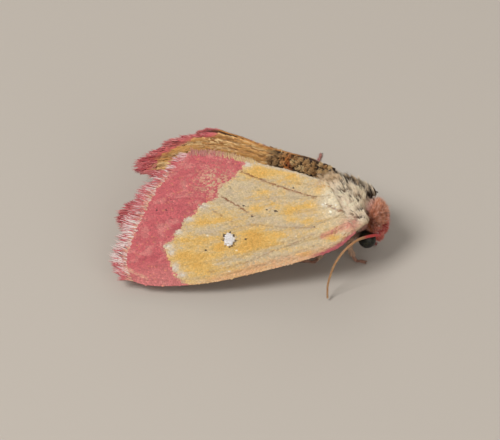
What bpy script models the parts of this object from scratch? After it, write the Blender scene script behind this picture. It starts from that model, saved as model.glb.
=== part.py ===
"""A small moth at rest with its wings held like a roof, standing on six feet.

The moth faces +X, its right side is -Y, up is +Z and the floor is z = 0. Sizes are in millimetres
up to the last step, which scales every mesh to metres and moves the origin to the middle of the base.
"""

import math
import random

import bmesh
import bpy
from mathutils import Matrix, Vector

MM = 0.001
GAP = 0.3  # between neighbouring parts
SHEET = 0.5  # thickness of a wing membrane
SEED = 41

# Forewings. Three corners place each one: the front of its root, the apex and the hind corner.
RIGHT_FOREWING = (Vector((0.0, -1.4, 3.05)), Vector((-10.4, -6.9, 0.5)), Vector((-8.94, -0.5, 4.33)))
LEFT_FOREWING = (Vector((0.0, 1.3, 2.7)), Vector((-10.5, 4.5, 1.05)), Vector((-7.95, 0.5, 4.8)))
LEFT_CUP = 1.1  # the left forewing curls in by this towards its outer margin
APEX_REACH = 12.03  # along the wing, root to apex
HIND_CORNER = (7.04, 5.73)  # along and across the wing, for the third of the corners above
# The outline in the same two measures, in four edges that share their end points.
FORE_ROOT = ((0.8, -0.5), (1.35, 0.6), (1.6, 1.6), (1.85, 2.75))
FORE_COSTA = ((0.8, -0.5), (2.43, -0.86), (5.05, -1.07), (8.13, -1.05), (10.86, -0.58), (12.03, 0.0))
FORE_OUTER = ((12.03, 0.0), (12.12, 1.0), (11.45, 2.2), (10.6, 3.45), (9.6, 4.6), (7.8, 5.9))
FORE_INNER = ((1.85, 2.75), (3.0, 3.65), (4.5, 4.45), (6.1, 5.35), (7.8, 5.9))
SHOULDER_BULGE = 0.55  # the wing rises this much over the side of the thorax
SHOULDER_AT = (0.9, 1.4)
SHOULDER_SPREAD = 1.7
CAMBER = 0.22  # and this much in a low arch from costa to inner margin
CAMBER_FROM, CAMBER_WIDTH = -1.1, 6.5  # across the wing
CURL_FROM = 6.5  # along the wing
MOST_CURL = 1.2  # as a share of the way from there to the apex
# Where the main veins run, as shares of the way from the costa to the inner margin.
FORE_VEINS = (0.06, 0.2, 0.36, 0.52, 0.68, 0.86)
HIND_VEINS = (0.12, 0.37, 0.62, 0.87)
VEIN_HEIGHT = 0.16
VEIN_HALF = 0.022  # half a vein's width, as the same share
HIND_VEIN_HALF = 0.031
FORE_STATIONS = 9  # along a wing
HIND_STATIONS = 8

# Hindwings, each a fan of veins from the root to the margin, from the body side to the outer side.
RIGHT_HINDWING = (
    ((-2.7, -1.5, 2.5), (-5.6, -1.75, 2.5), (-8.6, -1.65, 2.8), (-10.3, -1.75, 2.8)),
    ((-2.6, -1.75, 2.35), (-5.8, -2.45, 2.1), (-9.2, -2.75, 2.15), (-11.5, -2.9, 2.1)),
    ((-2.5, -1.95, 2.2), (-5.8, -3.2, 1.6), (-9.2, -4.1, 1.2), (-11.4, -4.5, 1.05)),
    ((-2.4, -2.15, 2.0), (-5.3, -3.8, 1.05), (-8.6, -4.9, 0.7), (-10.3, -5.4, 0.5)),
)
LEFT_HINDWING = (
    ((-4.0, 0.85, 3.0), (-5.6, 0.5, 3.5), (-7.6, 0.35, 3.95), (-9.2, 0.2, 4.0)),
    ((-4.0, 1.15, 2.5), (-6.0, 1.1, 2.95), (-8.8, 0.75, 3.3), (-11.3, 0.1, 2.95)),
    ((-4.0, 1.5, 2.05), (-6.0, 1.7, 2.2), (-9.4, 1.3, 2.2), (-12.3, 0.15, 1.7)),
    ((-3.9, 1.7, 1.65), (-5.8, 2.35, 1.25), (-9.2, 2.3, 0.95), (-11.6, 1.6, 0.75)),
)

# Fringe of scales on the outer margins.
FRINGE_LENGTH = 0.85
FRINGE_STEP = 0.43
FRINGE_HALF = 0.34  # half width at the root
FRINGE_THICK = 0.25  # half thickness at the root
FRINGE_ROOT = 0.3  # how deep it is rooted in the wing
FRINGE_STAGGER = 0.05  # every second lock lies this much above the middle of the wing, and the rest below
FORE_FRINGE = (0.03, 0.9, 20)  # from and to these shares of the margin, and how many locks
HIND_FRINGE = (0.06, 0.96)

# Body. Each ring is (x, y, z, half width, half height).
HEAD_RINGS = (
    (-0.25, 0, 2.45, 0.52, 0.52), (-0.1, 0, 2.42, 0.68, 0.7), (0.2, 0, 2.36, 0.74, 0.78),
    (0.48, 0, 2.3, 0.64, 0.7), (0.66, 0, 2.24, 0.4, 0.46),
)
COLLAR_RINGS = (
    (-0.85, 0, 2.72, 0.7, 0.7), (-0.8, 0, 2.72, 0.9, 0.92), (-0.68, 0, 2.7, 0.94, 0.97),
    (-0.57, 0, 2.68, 0.84, 0.88), (-0.53, 0, 2.66, 0.68, 0.7),
)
THORAX_RINGS = (
    (-3.0, 0, 2.5, 0.6, 0.66), (-2.7, 0, 2.56, 0.82, 0.9), (-2.1, 0, 2.62, 0.92, 1.04),
    (-1.5, 0, 2.66, 0.92, 1.04), (-1.15, 0, 2.7, 0.74, 0.78),
)
ABDOMEN_RINGS = (
    (-3.35, 0, 2.22, 0.5, 0.52), (-3.75, 0, 2.12, 0.66, 0.68), (-4.4, -0.02, 2.0, 0.7, 0.72),
    (-5.1, -0.04, 1.9, 0.7, 0.72), (-5.8, -0.02, 1.86, 0.64, 0.66), (-6.5, 0.02, 1.82, 0.55, 0.57),
    (-7.2, 0.04, 1.78, 0.43, 0.45), (-7.8, 0.06, 1.74, 0.28, 0.3),
)
RING_SIDES = 16
# The coat, in rows of locks: (x of the row, locks in it, length, lift away from the skin).
THORAX_COAT = ((-1.3, 9, 0.85, 0.7), (-1.6, 12, 0.95, 0.5), (-2.0, 12, 0.95, 0.42), (-2.45, 11, 0.9, 0.45))
HEAD_COAT = ((0.0, 9, 0.45, 1.2), (0.22, 10, 0.52, 1.5), (0.44, 9, 0.5, 1.4), (0.6, 6, 0.45, 0.8))
COLLAR_COAT = ((-0.66, 12, 0.5, 2.8),)
ABDOMEN_COAT = (
    (-3.6, 8, 0.85, 0.25), (-4.3, 8, 0.9, 0.22), (-5.05, 8, 0.9, 0.22), (-5.8, 7, 0.9, 0.22),
    (-6.55, 7, 0.9, 0.24), (-7.25, 6, 0.95, 0.3), (-7.65, 4, 0.95, 0.35),
)
LOCK_HALF = 0.3  # half a lock's width
LOCK_THICK = 0.25  # half its thickness at the root
LOCK_ROOT = 0.25  # how deep it is rooted
LOCK_SAG = -0.12  # its tip bends in towards the body by this
# Shares along a lock, with its width and its thickness there.
LOCK_SHAPE = ((0.0, 0.9, 1.0), (0.4, 1.0, 0.85), (0.75, 0.62, 0.5), (1.0, 0.1, 0.16))
CREST = 1.55  # locks on the crest of the thorax are longer by this
CREST_FROM = 0.93  # sine of the angle where the crest starts
EYE_RADIUS = 0.45
EYE_CENTRE = Vector((0.0, 0.95, 1.84))
# The tegula, a flap of scales over the wing root, in the wing's own two measures.
RIGHT_TEGULA = ((-0.15, -0.35), (0.35, 0.6), (0.75, 1.6), (1.1, 2.6))
LEFT_TEGULA = ((-0.1, -0.5), (0.3, 0.3), (0.6, 1.1), (0.85, 1.9))
TEGULA_HALF = 0.42
TEGULA_THICK = 0.22  # half thickness of its pad
TEGULA_LIFT = 0.02
TEGULA_RINGS, TEGULA_SIDES = 8, 8
TEGULA_SPAN = (0.03, 0.85)  # the pad starts at this share of the path and covers this much of it
TEGULA_LOCKS = 8
TEGULA_LOCK = (0.8, 0.28)  # length and half width

# Feelers, legs and mouth parts, each a line of (x, y, z, radius).
RIGHT_ANTENNA = (
    (0.95, -0.86, 2.52, 0.27), (0.75, -1.3, 2.64, 0.27), (0.25, -1.95, 2.7, 0.26), (-0.13, -2.95, 3.02, 0.25),
    (-0.6, -3.15, 2.5, 0.25), (-0.86, -3.4, 1.67, 0.25), (-0.99, -3.75, 0.8, 0.22), (-0.9, -3.88, 0.28, 0.12),
)
LEFT_ANTENNA = (
    (0.95, 0.86, 2.5, 0.27), (1.0, 1.4, 2.3, 0.27), (0.55, 2.0, 1.9, 0.26), (-0.3, 2.7, 1.55, 0.25),
    (-1.3, 3.45, 1.25, 0.24), (-2.3, 4.2, 0.95, 0.22), (-3.1, 4.9, 0.7, 0.12),
)
PALP = ((0.2, 0.4, 1.0, 0.25), (0.5, 0.42, 1.0, 0.26), (0.76, 0.42, 1.18, 0.25), (0.9, 0.38, 1.45, 0.14))
FOOT_HALF = 0.32  # half length of the flat of a foot
FOOT_HEIGHT = 0.2  # of the middle of the foot
FOOT_RADII = (0.25, 0.23)
LEGS = {
    "leg_front_right": ((-1.0, -0.55, 1.2), (-0.75, -1.0, 0.95), (-0.5, -1.2, 0.55), (0.1, -1.2)),
    "leg_front_left": ((-1.0, 0.55, 1.2), (-0.75, 1.0, 0.95), (-0.5, 1.2, 0.55), (0.1, 1.2)),
    "leg_mid_right": ((-1.75, -0.62, 1.08), (-2.0, -1.2, 0.9), (-2.3, -1.6, 0.55), (-2.9, -1.8)),
    "leg_mid_left": ((-1.75, 0.62, 1.08), (-2.3, 2.3, 1.0), (-3.7, 4.0, 0.6), (-5.1, 5.4)),
    "leg_hind_right": ((-2.5, -0.6, 1.15), (-3.7, -1.6, 1.1), (-5.4, -2.4, 0.6), (-7.3, -2.9)),
    "leg_hind_left": ((-2.5, 0.6, 1.1), (-3.7, 1.2, 0.9), (-5.4, 1.3, 0.5), (-7.3, 1.3)),
}
LEG_RADIUS = (0.27, 0.25, 0.24)
LEG_STATIONS, PALP_STATIONS, ANTENNA_STATIONS = 11, 6, 14
TUBE_SIDES = 7

# Flesh and scale colours.
COLOURS = {
    "yellow_scale": ((0.66, 0.48, 0.2), 0.75),
    "gold_scale": ((0.6, 0.32, 0.1), 0.75),
    "cream_coat": ((0.68, 0.6, 0.5), 0.9),
    "brown_coat": ((0.3, 0.2, 0.12), 0.9),
    "red_coat": ((0.6, 0.14, 0.09), 0.9),
    "eye_glaze": ((0.03, 0.035, 0.02), 0.25),
    "tan_leg": ((0.42, 0.28, 0.16), 0.6),
}


def catmull(points, t):
    """A point at share t of a smooth line through the points."""
    last = len(points) - 1
    at = min(max(t, 0.0), 1.0) * last
    i = min(int(at), last - 1)
    f = at - i
    p1, p2 = Vector(points[i]), Vector(points[i + 1])
    p0 = Vector(points[i - 1]) if i > 0 else 2 * p1 - p2
    p3 = Vector(points[i + 2]) if i + 2 <= last else 2 * p2 - p1
    return 0.5 * (2 * p1 + (p2 - p0) * f + (2 * p0 - 5 * p1 + 4 * p2 - p3) * f**2
                  + (3 * p1 - p0 - 3 * p2 + p3) * f**3)


def even(points, count):
    """Points at equal steps along a smooth line."""
    fine = [catmull(points, k / 200) for k in range(201)]
    runs = [0.0]
    for a, b in zip(fine, fine[1:]):
        runs.append(runs[-1] + (b - a).length)
    found = []
    for k in range(count):
        want = runs[-1] * k / (count - 1)
        i = next((j for j in range(200) if runs[j + 1] >= want - 1e-9), 199)
        share = (want - runs[i]) / max(runs[i + 1] - runs[i], 1e-9)
        found.append(fine[i].lerp(fine[i + 1], share))
    return found


def mesh_object(name, vertices, faces):
    mesh = bpy.data.meshes.new(name)
    mesh.from_pydata([tuple(v) for v in vertices], [], faces)
    mesh.update()
    thing = bpy.data.objects.new(name, mesh)
    bpy.context.scene.collection.objects.link(thing)
    return thing


def faces_out(thing):
    bm = bmesh.new()
    bm.from_mesh(thing.data)
    bmesh.ops.remove_doubles(bm, verts=bm.verts, dist=1e-4)
    bmesh.ops.recalc_face_normals(bm, faces=bm.faces)
    bm.to_mesh(thing.data)
    bm.free()
    return thing


def loft(name, rings, cap=True):
    """Joins rings of equal length by faces, with a flat cap at each end."""
    sides = len(rings[0])
    vertices = [v for ring in rings for v in ring]
    faces = []
    for r in range(len(rings) - 1):
        for k in range(sides):
            a, b = r * sides + k, r * sides + (k + 1) % sides
            faces.append((a, b, b + sides, a + sides))
    if cap:
        faces.append(tuple(range(sides)))
        start = (len(rings) - 1) * sides
        faces.append(tuple(reversed(range(start, start + sides))))
    return faces_out(mesh_object(name, vertices, faces))


def bake(thing):
    """Replaces an object's mesh by what its modifiers make."""
    graph = bpy.context.evaluated_depsgraph_get()
    graph.update()
    made = bpy.data.meshes.new_from_object(thing.evaluated_get(graph))
    old = thing.data
    thing.modifiers.clear()
    thing.data = made
    bpy.data.meshes.remove(old)
    return thing


def largest(thing):
    """Keeps only the largest closed surface of an object."""
    bm = bmesh.new()
    bm.from_mesh(thing.data)
    bm.verts.ensure_lookup_table()
    seen, groups = set(), []
    for start in bm.verts:
        if start.index in seen:
            continue
        seen.add(start.index)
        stack, group = [start], []
        while stack:
            v = stack.pop()
            group.append(v)
            for e in v.link_edges:
                w = e.other_vert(v)
                if w.index not in seen:
                    seen.add(w.index)
                    stack.append(w)
        groups.append(group)
    groups.sort(key=len)
    for group in groups[:-1]:
        bmesh.ops.delete(bm, geom=group, context="VERTS")
    bm.to_mesh(thing.data)
    bm.free()
    return thing


def fuse(thing, pieces):
    """One Boolean union of an object with a collection of closed pieces, applied."""
    if not pieces:
        return thing
    group = bpy.data.collections.new(thing.name + "_pieces")
    for piece in pieces:
        group.objects.link(piece)
    cut = thing.modifiers.new("join", "BOOLEAN")
    cut.operation = "UNION"
    cut.operand_type = "COLLECTION"
    cut.collection = group
    cut.solver = "MANIFOLD"
    bake(thing)
    for piece in pieces:
        bpy.data.objects.remove(piece)
    bpy.data.collections.remove(group)
    return largest(thing)


def wing_frame(corners):
    """Turns (along, across, up) on a forewing into a point, by its three corners."""
    base, apex, hind = corners
    a, b = apex - base, hind - base
    out = a.cross(b).normalized()
    if out.z < 0:
        out = -out
    slant = HIND_CORNER[0] / HIND_CORNER[1]
    return lambda p, q, h=0.0: base + a * ((p - q * slant) / APEX_REACH) + b * (q / HIND_CORNER[1]) + out * h


def forewing_rise(p, q):
    """How far the membrane stands above the flat of its corners."""
    away = (p - SHOULDER_AT[0]) ** 2 + (q - SHOULDER_AT[1]) ** 2
    across = min(max((q - CAMBER_FROM) / CAMBER_WIDTH, 0.0), 1.0)
    return SHOULDER_BULGE * math.exp(-away / SHOULDER_SPREAD**2) + CAMBER * math.sin(math.pi * across)


def outline_point(u, v):
    """A point of the forewing, u from root to outer margin and v from costa to inner margin."""
    edges = [[Vector((p, q, 0)) for p, q in line] for line in (FORE_ROOT, FORE_COSTA, FORE_OUTER, FORE_INNER)]
    root, costa, outer, inner = edges
    rim = catmull(costa, u) * (1 - v) + catmull(inner, u) * v
    rim += catmull(root, v) * (1 - u) + catmull(outer, v) * u
    corners = (costa[0] * (1 - u) + costa[-1] * u) * (1 - v) + (inner[0] * (1 - u) + inner[-1] * u) * v
    return rim - corners


def vein_shares(veins, half):
    """Shares across a wing: three at each vein and one between, with the height share at each."""
    shares = [(0.0, 0.0)]
    stops = [0.0] + list(veins) + [1.0]
    for k, v in enumerate(veins):
        shares.append(((stops[k] + v) / 2, 0.0))
        shares += [(v - half, 0.0), (v, 1.0), (v + half, 0.0)]
    shares += [((stops[-2] + 1.0) / 2, 0.0), (1.0, 0.0)]
    return shares


def membrane(name, grid, heights):
    """A sheet of even thickness over a grid of points, its veins raised in its own upper surface."""
    rows, columns = len(grid), len(grid[0])
    over, under = [], []
    for i in range(rows):
        for j in range(columns):
            du = grid[min(i + 1, rows - 1)][j] - grid[max(i - 1, 0)][j]
            dv = grid[i][min(j + 1, columns - 1)] - grid[i][max(j - 1, 0)]
            up = du.cross(dv).normalized()
            if up.z < 0:
                up = -up
            fade = min(1.0, i / 2) * (1 - 0.5 * i / (rows - 1))
            over.append(grid[i][j] + up * (SHEET / 2 + heights[j] * VEIN_HEIGHT * fade))
            under.append(grid[i][j] - up * SHEET / 2)
    faces, below = [], rows * columns
    for i in range(rows - 1):
        for j in range(columns - 1):
            a, c = i * columns + j, (i + 1) * columns + j
            for first, second, third in ((a, a + 1, c + 1), (a, c + 1, c)):
                faces += [(first, second, third), (below + third, below + second, below + first)]
    rim = [j for j in range(columns)] + [i * columns + columns - 1 for i in range(1, rows)]
    rim += [(rows - 1) * columns + j for j in range(columns - 2, -1, -1)]
    rim += [i * columns for i in range(rows - 2, 0, -1)]
    for a, b in zip(rim, rim[1:] + rim[:1]):
        faces += [(a, below + b, b), (a, below + a, below + b)]
    return faces_out(mesh_object(name, over + under, faces))


def lock(root, way, face, length, half_width, half_thick, bend):
    """One flat lock of scales, thick at its root, that bends and tapers to its tip."""
    way = way.normalized()
    side = way.cross(face).normalized()
    face = side.cross(way).normalized()
    rings = []
    for share, wide, thick in LOCK_SHAPE:
        centre = root + way * length * share + face * bend * share**2
        w, t = half_width * wide, half_thick * thick
        rings.append([centre + side * w, centre + face * t, centre - side * w, centre - face * t])
    return loft("lock", rings)


def fringe(edge, inside, count, length, jitter):
    """Locks along a margin, each pointing out along its vein."""
    made = []
    for k in range(count):
        share = (k + 0.5) / count
        tip, back = edge(share), inside(share)
        way = (tip - back).normalized()
        along = (edge(min(share + 0.01, 1.0)) - edge(max(share - 0.01, 0.0))).normalized()
        face = way.cross(along).normalized()
        if face.z < 0:
            face = -face
        size = length * (1 + jitter.uniform(-0.16, 0.12))
        swing = way + along * jitter.uniform(-0.14, 0.14)
        root = tip - way * FRINGE_ROOT + face * (FRINGE_STAGGER if k % 2 else -FRINGE_STAGGER)
        bend = jitter.uniform(-0.08, 0.02)
        made.append(lock(root, swing, face, size + FRINGE_ROOT, FRINGE_HALF, FRINGE_THICK, bend))
    return made


def forewing(name, corners, cup, jitter):
    at = wing_frame(corners)

    def point(u, v):
        flat = outline_point(u, v)
        curl = cup * min(max((flat.x - CURL_FROM) / (APEX_REACH - CURL_FROM), 0.0), MOST_CURL) ** 2
        return at(flat.x, flat.y, forewing_rise(flat.x, flat.y) - curl)

    shares = vein_shares(FORE_VEINS, VEIN_HALF)
    grid = [[point(i / (FORE_STATIONS - 1), v) for v, _ in shares] for i in range(FORE_STATIONS)]
    thing = membrane(name, grid, [h for _, h in shares])
    first, last, count = FORE_FRINGE
    edge = lambda s: point(1.0, first + (last - first) * s)
    inside = lambda s: point(0.93, first + (last - first) * s)
    return fuse(thing, fringe(edge, inside, count, FRINGE_LENGTH, jitter))


def hindwing(name, fan, jitter):
    def point(u, v):
        return catmull([catmull(line, u) for line in fan], v)

    shares = vein_shares(HIND_VEINS, HIND_VEIN_HALF)
    grid = [[point(i / (HIND_STATIONS - 1), v) for v, _ in shares] for i in range(HIND_STATIONS)]
    thing = membrane(name, grid, [h for _, h in shares])
    first, last = HIND_FRINGE
    edge = lambda s: point(1.0, first + (last - first) * s)
    inside = lambda s: point(0.92, first + (last - first) * s)
    reach = sum((edge((k + 1) / 20) - edge(k / 20)).length for k in range(20))
    return fuse(thing, fringe(edge, inside, round(reach / FRINGE_STEP), FRINGE_LENGTH, jitter))


def ring(x, y, z, wide, high):
    turn = [2 * math.pi * k / RING_SIDES for k in range(RING_SIDES)]
    return [Vector((x, y + wide * math.cos(a), z + high * math.sin(a))) for a in turn]


def tube(name, line, stations, sides=TUBE_SIDES):
    """A round tube through a smooth line of (x, y, z, radius)."""
    centres = even([Vector(p[:3]) for p in line], stations)
    radii = [catmull([Vector((p[3], 0, 0)) for p in line], k / (stations - 1)).x for k in range(stations)]
    rings, side = [], None
    for k, centre in enumerate(centres):
        way = (centres[min(k + 1, stations - 1)] - centres[max(k - 1, 0)]).normalized()
        side = way.orthogonal() if side is None else side - way * side.dot(way)
        side.normalize()
        other = way.cross(side)
        turn = [2 * math.pi * n / sides for n in range(sides)]
        rings.append([centre + (side * math.cos(a) + other * math.sin(a)) * radii[k] for a in turn])
    return loft(name, rings)


def leg(name, hip, knee, ankle, foot):
    """A leg whose last joints lie on the floor and end in a small flat."""
    foot_at = Vector((foot[0], foot[1], FOOT_HEIGHT))
    way = foot_at - Vector(ankle)
    way.z = 0
    way.normalize()
    line = [(*hip, LEG_RADIUS[0]), (*knee, LEG_RADIUS[1]), (*ankle, LEG_RADIUS[2]),
            (*(foot_at - way * FOOT_HALF), FOOT_RADII[0]), (*(foot_at + way * FOOT_HALF), FOOT_RADII[1])]
    thing = tube(name, line, LEG_STATIONS)
    for v in thing.data.vertices:
        v.co.z = max(v.co.z, 0.0)
    return faces_out(thing)


def ball(name, centre, radius):
    bm = bmesh.new()
    bmesh.ops.create_icosphere(bm, subdivisions=3, radius=radius, matrix=Matrix.Translation(centre))
    mesh = bpy.data.meshes.new(name)
    bm.to_mesh(mesh)
    bm.free()
    thing = bpy.data.objects.new(name, mesh)
    bpy.context.scene.collection.objects.link(thing)
    return thing


def carve(thing, cutter):
    cut = thing.modifiers.new("socket", "BOOLEAN")
    cut.operation, cut.solver, cut.object = "DIFFERENCE", "EXACT", cutter
    bake(thing)
    bpy.data.objects.remove(cutter)
    return largest(thing)


def tegula(name, corners, path, jitter):
    """The flap of scales over a wing root: a flat pad along the root, with locks that flow up and back."""
    at = wing_frame(corners)
    line = [Vector((p, q, 0)) for p, q in path]

    def spot(share, aside, lift):
        c = catmull(line, share)
        nearby = catmull(line, min(share + 0.02, 1.0)) - catmull(line, max(share - 0.02, 0.0))
        c += Vector((nearby.y, -nearby.x, 0)).normalized() * aside
        return at(c.x, c.y, forewing_rise(c.x, c.y) + TEGULA_LIFT + lift)

    rings = []
    turn = [2 * math.pi * n / TEGULA_SIDES for n in range(TEGULA_SIDES)]
    for k in range(TEGULA_RINGS):
        way = k / (TEGULA_RINGS - 1)
        share = TEGULA_SPAN[0] + TEGULA_SPAN[1] * way
        plump = math.sqrt(max(1 - (2 * way - 1) ** 2, 0.15))
        half, thick = TEGULA_HALF * plump, TEGULA_THICK * plump
        rings.append([spot(share, half * math.cos(a), thick * math.sin(a)) for a in turn])
    locks = []
    for k in range(TEGULA_LOCKS):
        share = 0.1 + 0.8 * (k // 2) / (TEGULA_LOCKS / 2 - 1)
        aside = TEGULA_HALF * (0.55 if k % 2 else -0.5)
        root, ahead = spot(share, aside, 0.0), spot(share + 0.08, aside * 1.15, 0.05)
        up = (spot(share, aside, 0.1) - root).normalized()
        size = TEGULA_LOCK[0] * jitter.uniform(0.9, 1.1)
        bend = jitter.uniform(0.02, 0.12)
        locks.append(lock(root, ahead - root, up, size, TEGULA_LOCK[1], LOCK_THICK, bend))
    return fuse(loft(name, rings), locks)


def ring_at(rings, x):
    """The ring of a body at x, between the stated ones."""
    lined = sorted(rings)
    for a, b in zip(lined, lined[1:]):
        if a[0] <= x <= b[0]:
            share = (x - a[0]) / (b[0] - a[0])
            return [p + (q - p) * share for p, q in zip(a, b)]
    return lined[0] if x < lined[0][0] else lined[-1]


def coat(rings, rows, jitter, forward=False, allowed=None, stretch=None):
    """Rows of flat locks that lie back along a body, each row's locks between those of the last."""
    made = []
    for n, (x, count, length, lift) in enumerate(rows):
        _, y, z, wide, high = ring_at(rings, x)
        for k in range(count):
            angle = 2 * math.pi * (k + 0.5 * (n % 2)) / count + math.pi / 2
            if allowed and not allowed(x, angle):
                continue
            out = Vector((0, math.cos(angle) / wide, math.sin(angle) / high)).normalized()
            spot = Vector((x, y + wide * math.cos(angle), z + high * math.sin(angle)))
            lie = Vector((1 if forward and n >= len(rows) - 2 else -1, 0, 0))
            way = (lie + out * lift + Vector((0, jitter.uniform(-0.12, 0.12), 0))).normalized()
            size = length * jitter.uniform(0.9, 1.1) * (stretch(x, angle) if stretch else 1.0)
            root = spot - out * LOCK_ROOT * 0.8 - way * LOCK_ROOT * 0.4
            half = LOCK_HALF * jitter.uniform(0.9, 1.15)
            made.append(lock(root, way, out, size, half, LOCK_THICK, LOCK_SAG))
    return made


def material(name):
    colour, rough = COLOURS[name]
    found = bpy.data.materials.get(name)
    if found:
        return found
    made = bpy.data.materials.new(name)
    made.use_nodes = True
    shader = made.node_tree.nodes["Principled BSDF"]
    shader.inputs["Base Color"].default_value = (*colour, 1)
    shader.inputs["Roughness"].default_value = rough
    shader.inputs["Metallic"].default_value = 0.0
    return made


def build():
    for thing in list(bpy.data.objects):
        bpy.data.objects.remove(thing)
    jitter = random.Random(SEED)
    nodes = []

    def add(thing, colour):
        thing.data.materials.clear()
        thing.data.materials.append(material(colour))
        nodes.append(thing)

    add(forewing("forewing_right", RIGHT_FOREWING, 0.0, jitter), "yellow_scale")
    add(forewing("forewing_left", LEFT_FOREWING, LEFT_CUP, jitter), "yellow_scale")
    add(hindwing("hindwing_right", RIGHT_HINDWING, jitter), "gold_scale")
    add(hindwing("hindwing_left", LEFT_HINDWING, jitter), "gold_scale")
    head = loft("head", [ring(*r) for r in HEAD_RINGS])
    upper = lambda x, a: math.sin(a) > -0.55
    head = fuse(head, coat(HEAD_RINGS, HEAD_COAT, jitter, forward=True, allowed=upper))
    for side, word, feeler in ((-1, "right", RIGHT_ANTENNA), (1, "left", LEFT_ANTENNA)):
        centre = (EYE_CENTRE.x, side * EYE_CENTRE.y, EYE_CENTRE.z)
        head = carve(head, ball("socket", centre, EYE_RADIUS + GAP))
        head = carve(head, ball("socket", feeler[0][:3], feeler[0][3] + GAP))
        add(ball("eye_" + word, centre, EYE_RADIUS), "eye_glaze")
        palp = [(x, side * y, z, r) for x, y, z, r in PALP]
        add(tube("palp_" + word, palp, PALP_STATIONS), "red_coat")
    add(head, "red_coat")
    collar = loft("collar", [ring(*r) for r in COLLAR_RINGS])
    add(fuse(collar, coat(COLLAR_RINGS, COLLAR_COAT, jitter, allowed=upper)), "red_coat")
    thorax = loft("thorax", [ring(*r) for r in THORAX_RINGS])
    crest = lambda x, a: CREST if math.sin(a) > CREST_FROM else 1.0
    above = lambda x, a: math.sin(a) > -0.45
    add(fuse(thorax, coat(THORAX_RINGS, THORAX_COAT, jitter, allowed=above, stretch=crest)), "cream_coat")
    abdomen = loft("abdomen", [ring(*r) for r in ABDOMEN_RINGS])
    add(fuse(abdomen, coat(ABDOMEN_RINGS, ABDOMEN_COAT, jitter)), "brown_coat")
    add(tegula("tegula_right", RIGHT_FOREWING, RIGHT_TEGULA, jitter), "cream_coat")
    add(tegula("tegula_left", LEFT_FOREWING, LEFT_TEGULA, jitter), "cream_coat")
    add(tube("antenna_right", RIGHT_ANTENNA, ANTENNA_STATIONS), "tan_leg")
    add(tube("antenna_left", LEFT_ANTENNA, ANTENNA_STATIONS), "tan_leg")
    for name, joints in LEGS.items():
        add(leg(name, *joints), "tan_leg")
    settle(nodes)


def settle(nodes):
    """Moves the origin to the middle of the base, scales to metres and gathers the nodes."""
    low = Vector((1e9, 1e9, 1e9))
    high = -low
    for thing in nodes:
        for v in thing.data.vertices:
            low = Vector(map(min, low, v.co))
            high = Vector(map(max, high, v.co))
    move = Matrix.Translation((-(low.x + high.x) / 2, -(low.y + high.y) / 2, 0))
    home = bpy.data.collections.new("resting_moth")
    bpy.context.scene.collection.children.link(home)
    for thing in nodes:
        thing.data.transform(Matrix.Scale(MM, 4) @ move)
        for face in thing.data.polygons:
            face.use_smooth = True
        for old in list(thing.users_collection):
            old.objects.unlink(thing)
        home.objects.link(thing)


build()
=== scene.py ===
import math

import bmesh
import bpy
import numpy as np
from mathutils import Matrix, Vector


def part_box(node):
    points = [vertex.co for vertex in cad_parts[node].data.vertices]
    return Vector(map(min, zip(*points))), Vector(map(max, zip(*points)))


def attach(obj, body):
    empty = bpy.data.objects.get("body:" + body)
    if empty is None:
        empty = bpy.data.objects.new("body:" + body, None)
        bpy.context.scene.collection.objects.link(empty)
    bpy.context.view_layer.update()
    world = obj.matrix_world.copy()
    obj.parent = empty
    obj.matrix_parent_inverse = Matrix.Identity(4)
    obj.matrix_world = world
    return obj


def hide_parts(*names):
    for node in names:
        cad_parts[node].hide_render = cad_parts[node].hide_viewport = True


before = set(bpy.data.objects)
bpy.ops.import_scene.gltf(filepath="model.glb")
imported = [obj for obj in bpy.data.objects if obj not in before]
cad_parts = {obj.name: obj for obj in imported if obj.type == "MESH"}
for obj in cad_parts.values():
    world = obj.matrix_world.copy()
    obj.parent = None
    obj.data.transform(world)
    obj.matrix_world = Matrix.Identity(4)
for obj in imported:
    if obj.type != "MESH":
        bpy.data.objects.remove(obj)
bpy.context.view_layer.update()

# Sizes are in millimetres in the part's own making frame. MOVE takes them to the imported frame, which the
# right eye's solid gives away, and MM makes them metres.
MM = 0.001
EYE_CENTRE = np.array((0.0, 0.95, 1.84))
EYE_RADIUS = 0.45
SOCKET = EYE_RADIUS + 0.02
_low, _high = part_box("eye_right")
MOVE = np.array((_low + _high) / 2) / MM - EYE_CENTRE * (1, -1, 1)
PATCH = 0.003  # size of one tuft on the OFBake map

# Forewings: the three corners, the outline in (along, across), and the veins as shares across.
RIGHT_FOREWING = ((0.0, -1.4, 3.05), (-10.4, -6.9, 0.5), (-8.94, -0.5, 4.33))
LEFT_FOREWING = ((0.0, 1.3, 2.7), (-10.5, 4.5, 1.05), (-7.95, 0.5, 4.8))
LEFT_CUP = 1.1
CURL_FROM = 6.5
APEX_REACH = 12.03
HIND_CORNER = (7.04, 5.73)
FORE_ROOT = ((0.4, -0.3), (0.75, 0.6), (1.0, 1.6), (1.3, 2.5))
FORE_COSTA = ((0.4, -0.3), (1.5, -0.83), (2.9, -1.01), (5.05, -1.1), (8.13, -1.07), (10.86, -0.6), (12.03, 0.0))
FORE_OUTER = ((12.03, 0.0), (12.12, 1.0), (11.45, 2.2), (10.6, 3.45), (9.6, 4.6), (7.8, 5.9))
FORE_INNER = ((1.3, 2.5), (2.9, 3.6), (4.5, 4.45), (6.1, 5.35), (7.8, 5.9))
FORE_VEINS = (0.06, 0.2, 0.36, 0.52, 0.68, 0.86)
HIND_VEINS = (0.12, 0.37, 0.62, 0.87)
VEIN_RISE = 0.05
VEIN_HALF = 0.011
SHOULDER_BULGE = 0.55
SHOULDER_AT = (0.9, 1.4)
SHOULDER_SPREAD = 1.7
LEFT_BULGE = 0.3  # the left forewing arches over the body farther out
LEFT_BULGE_AT = (3.0, 3.6)
LEFT_TRIM = 0.07  # share of the left forewing's length that its tegula hides
CAMBER = 0.22
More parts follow.
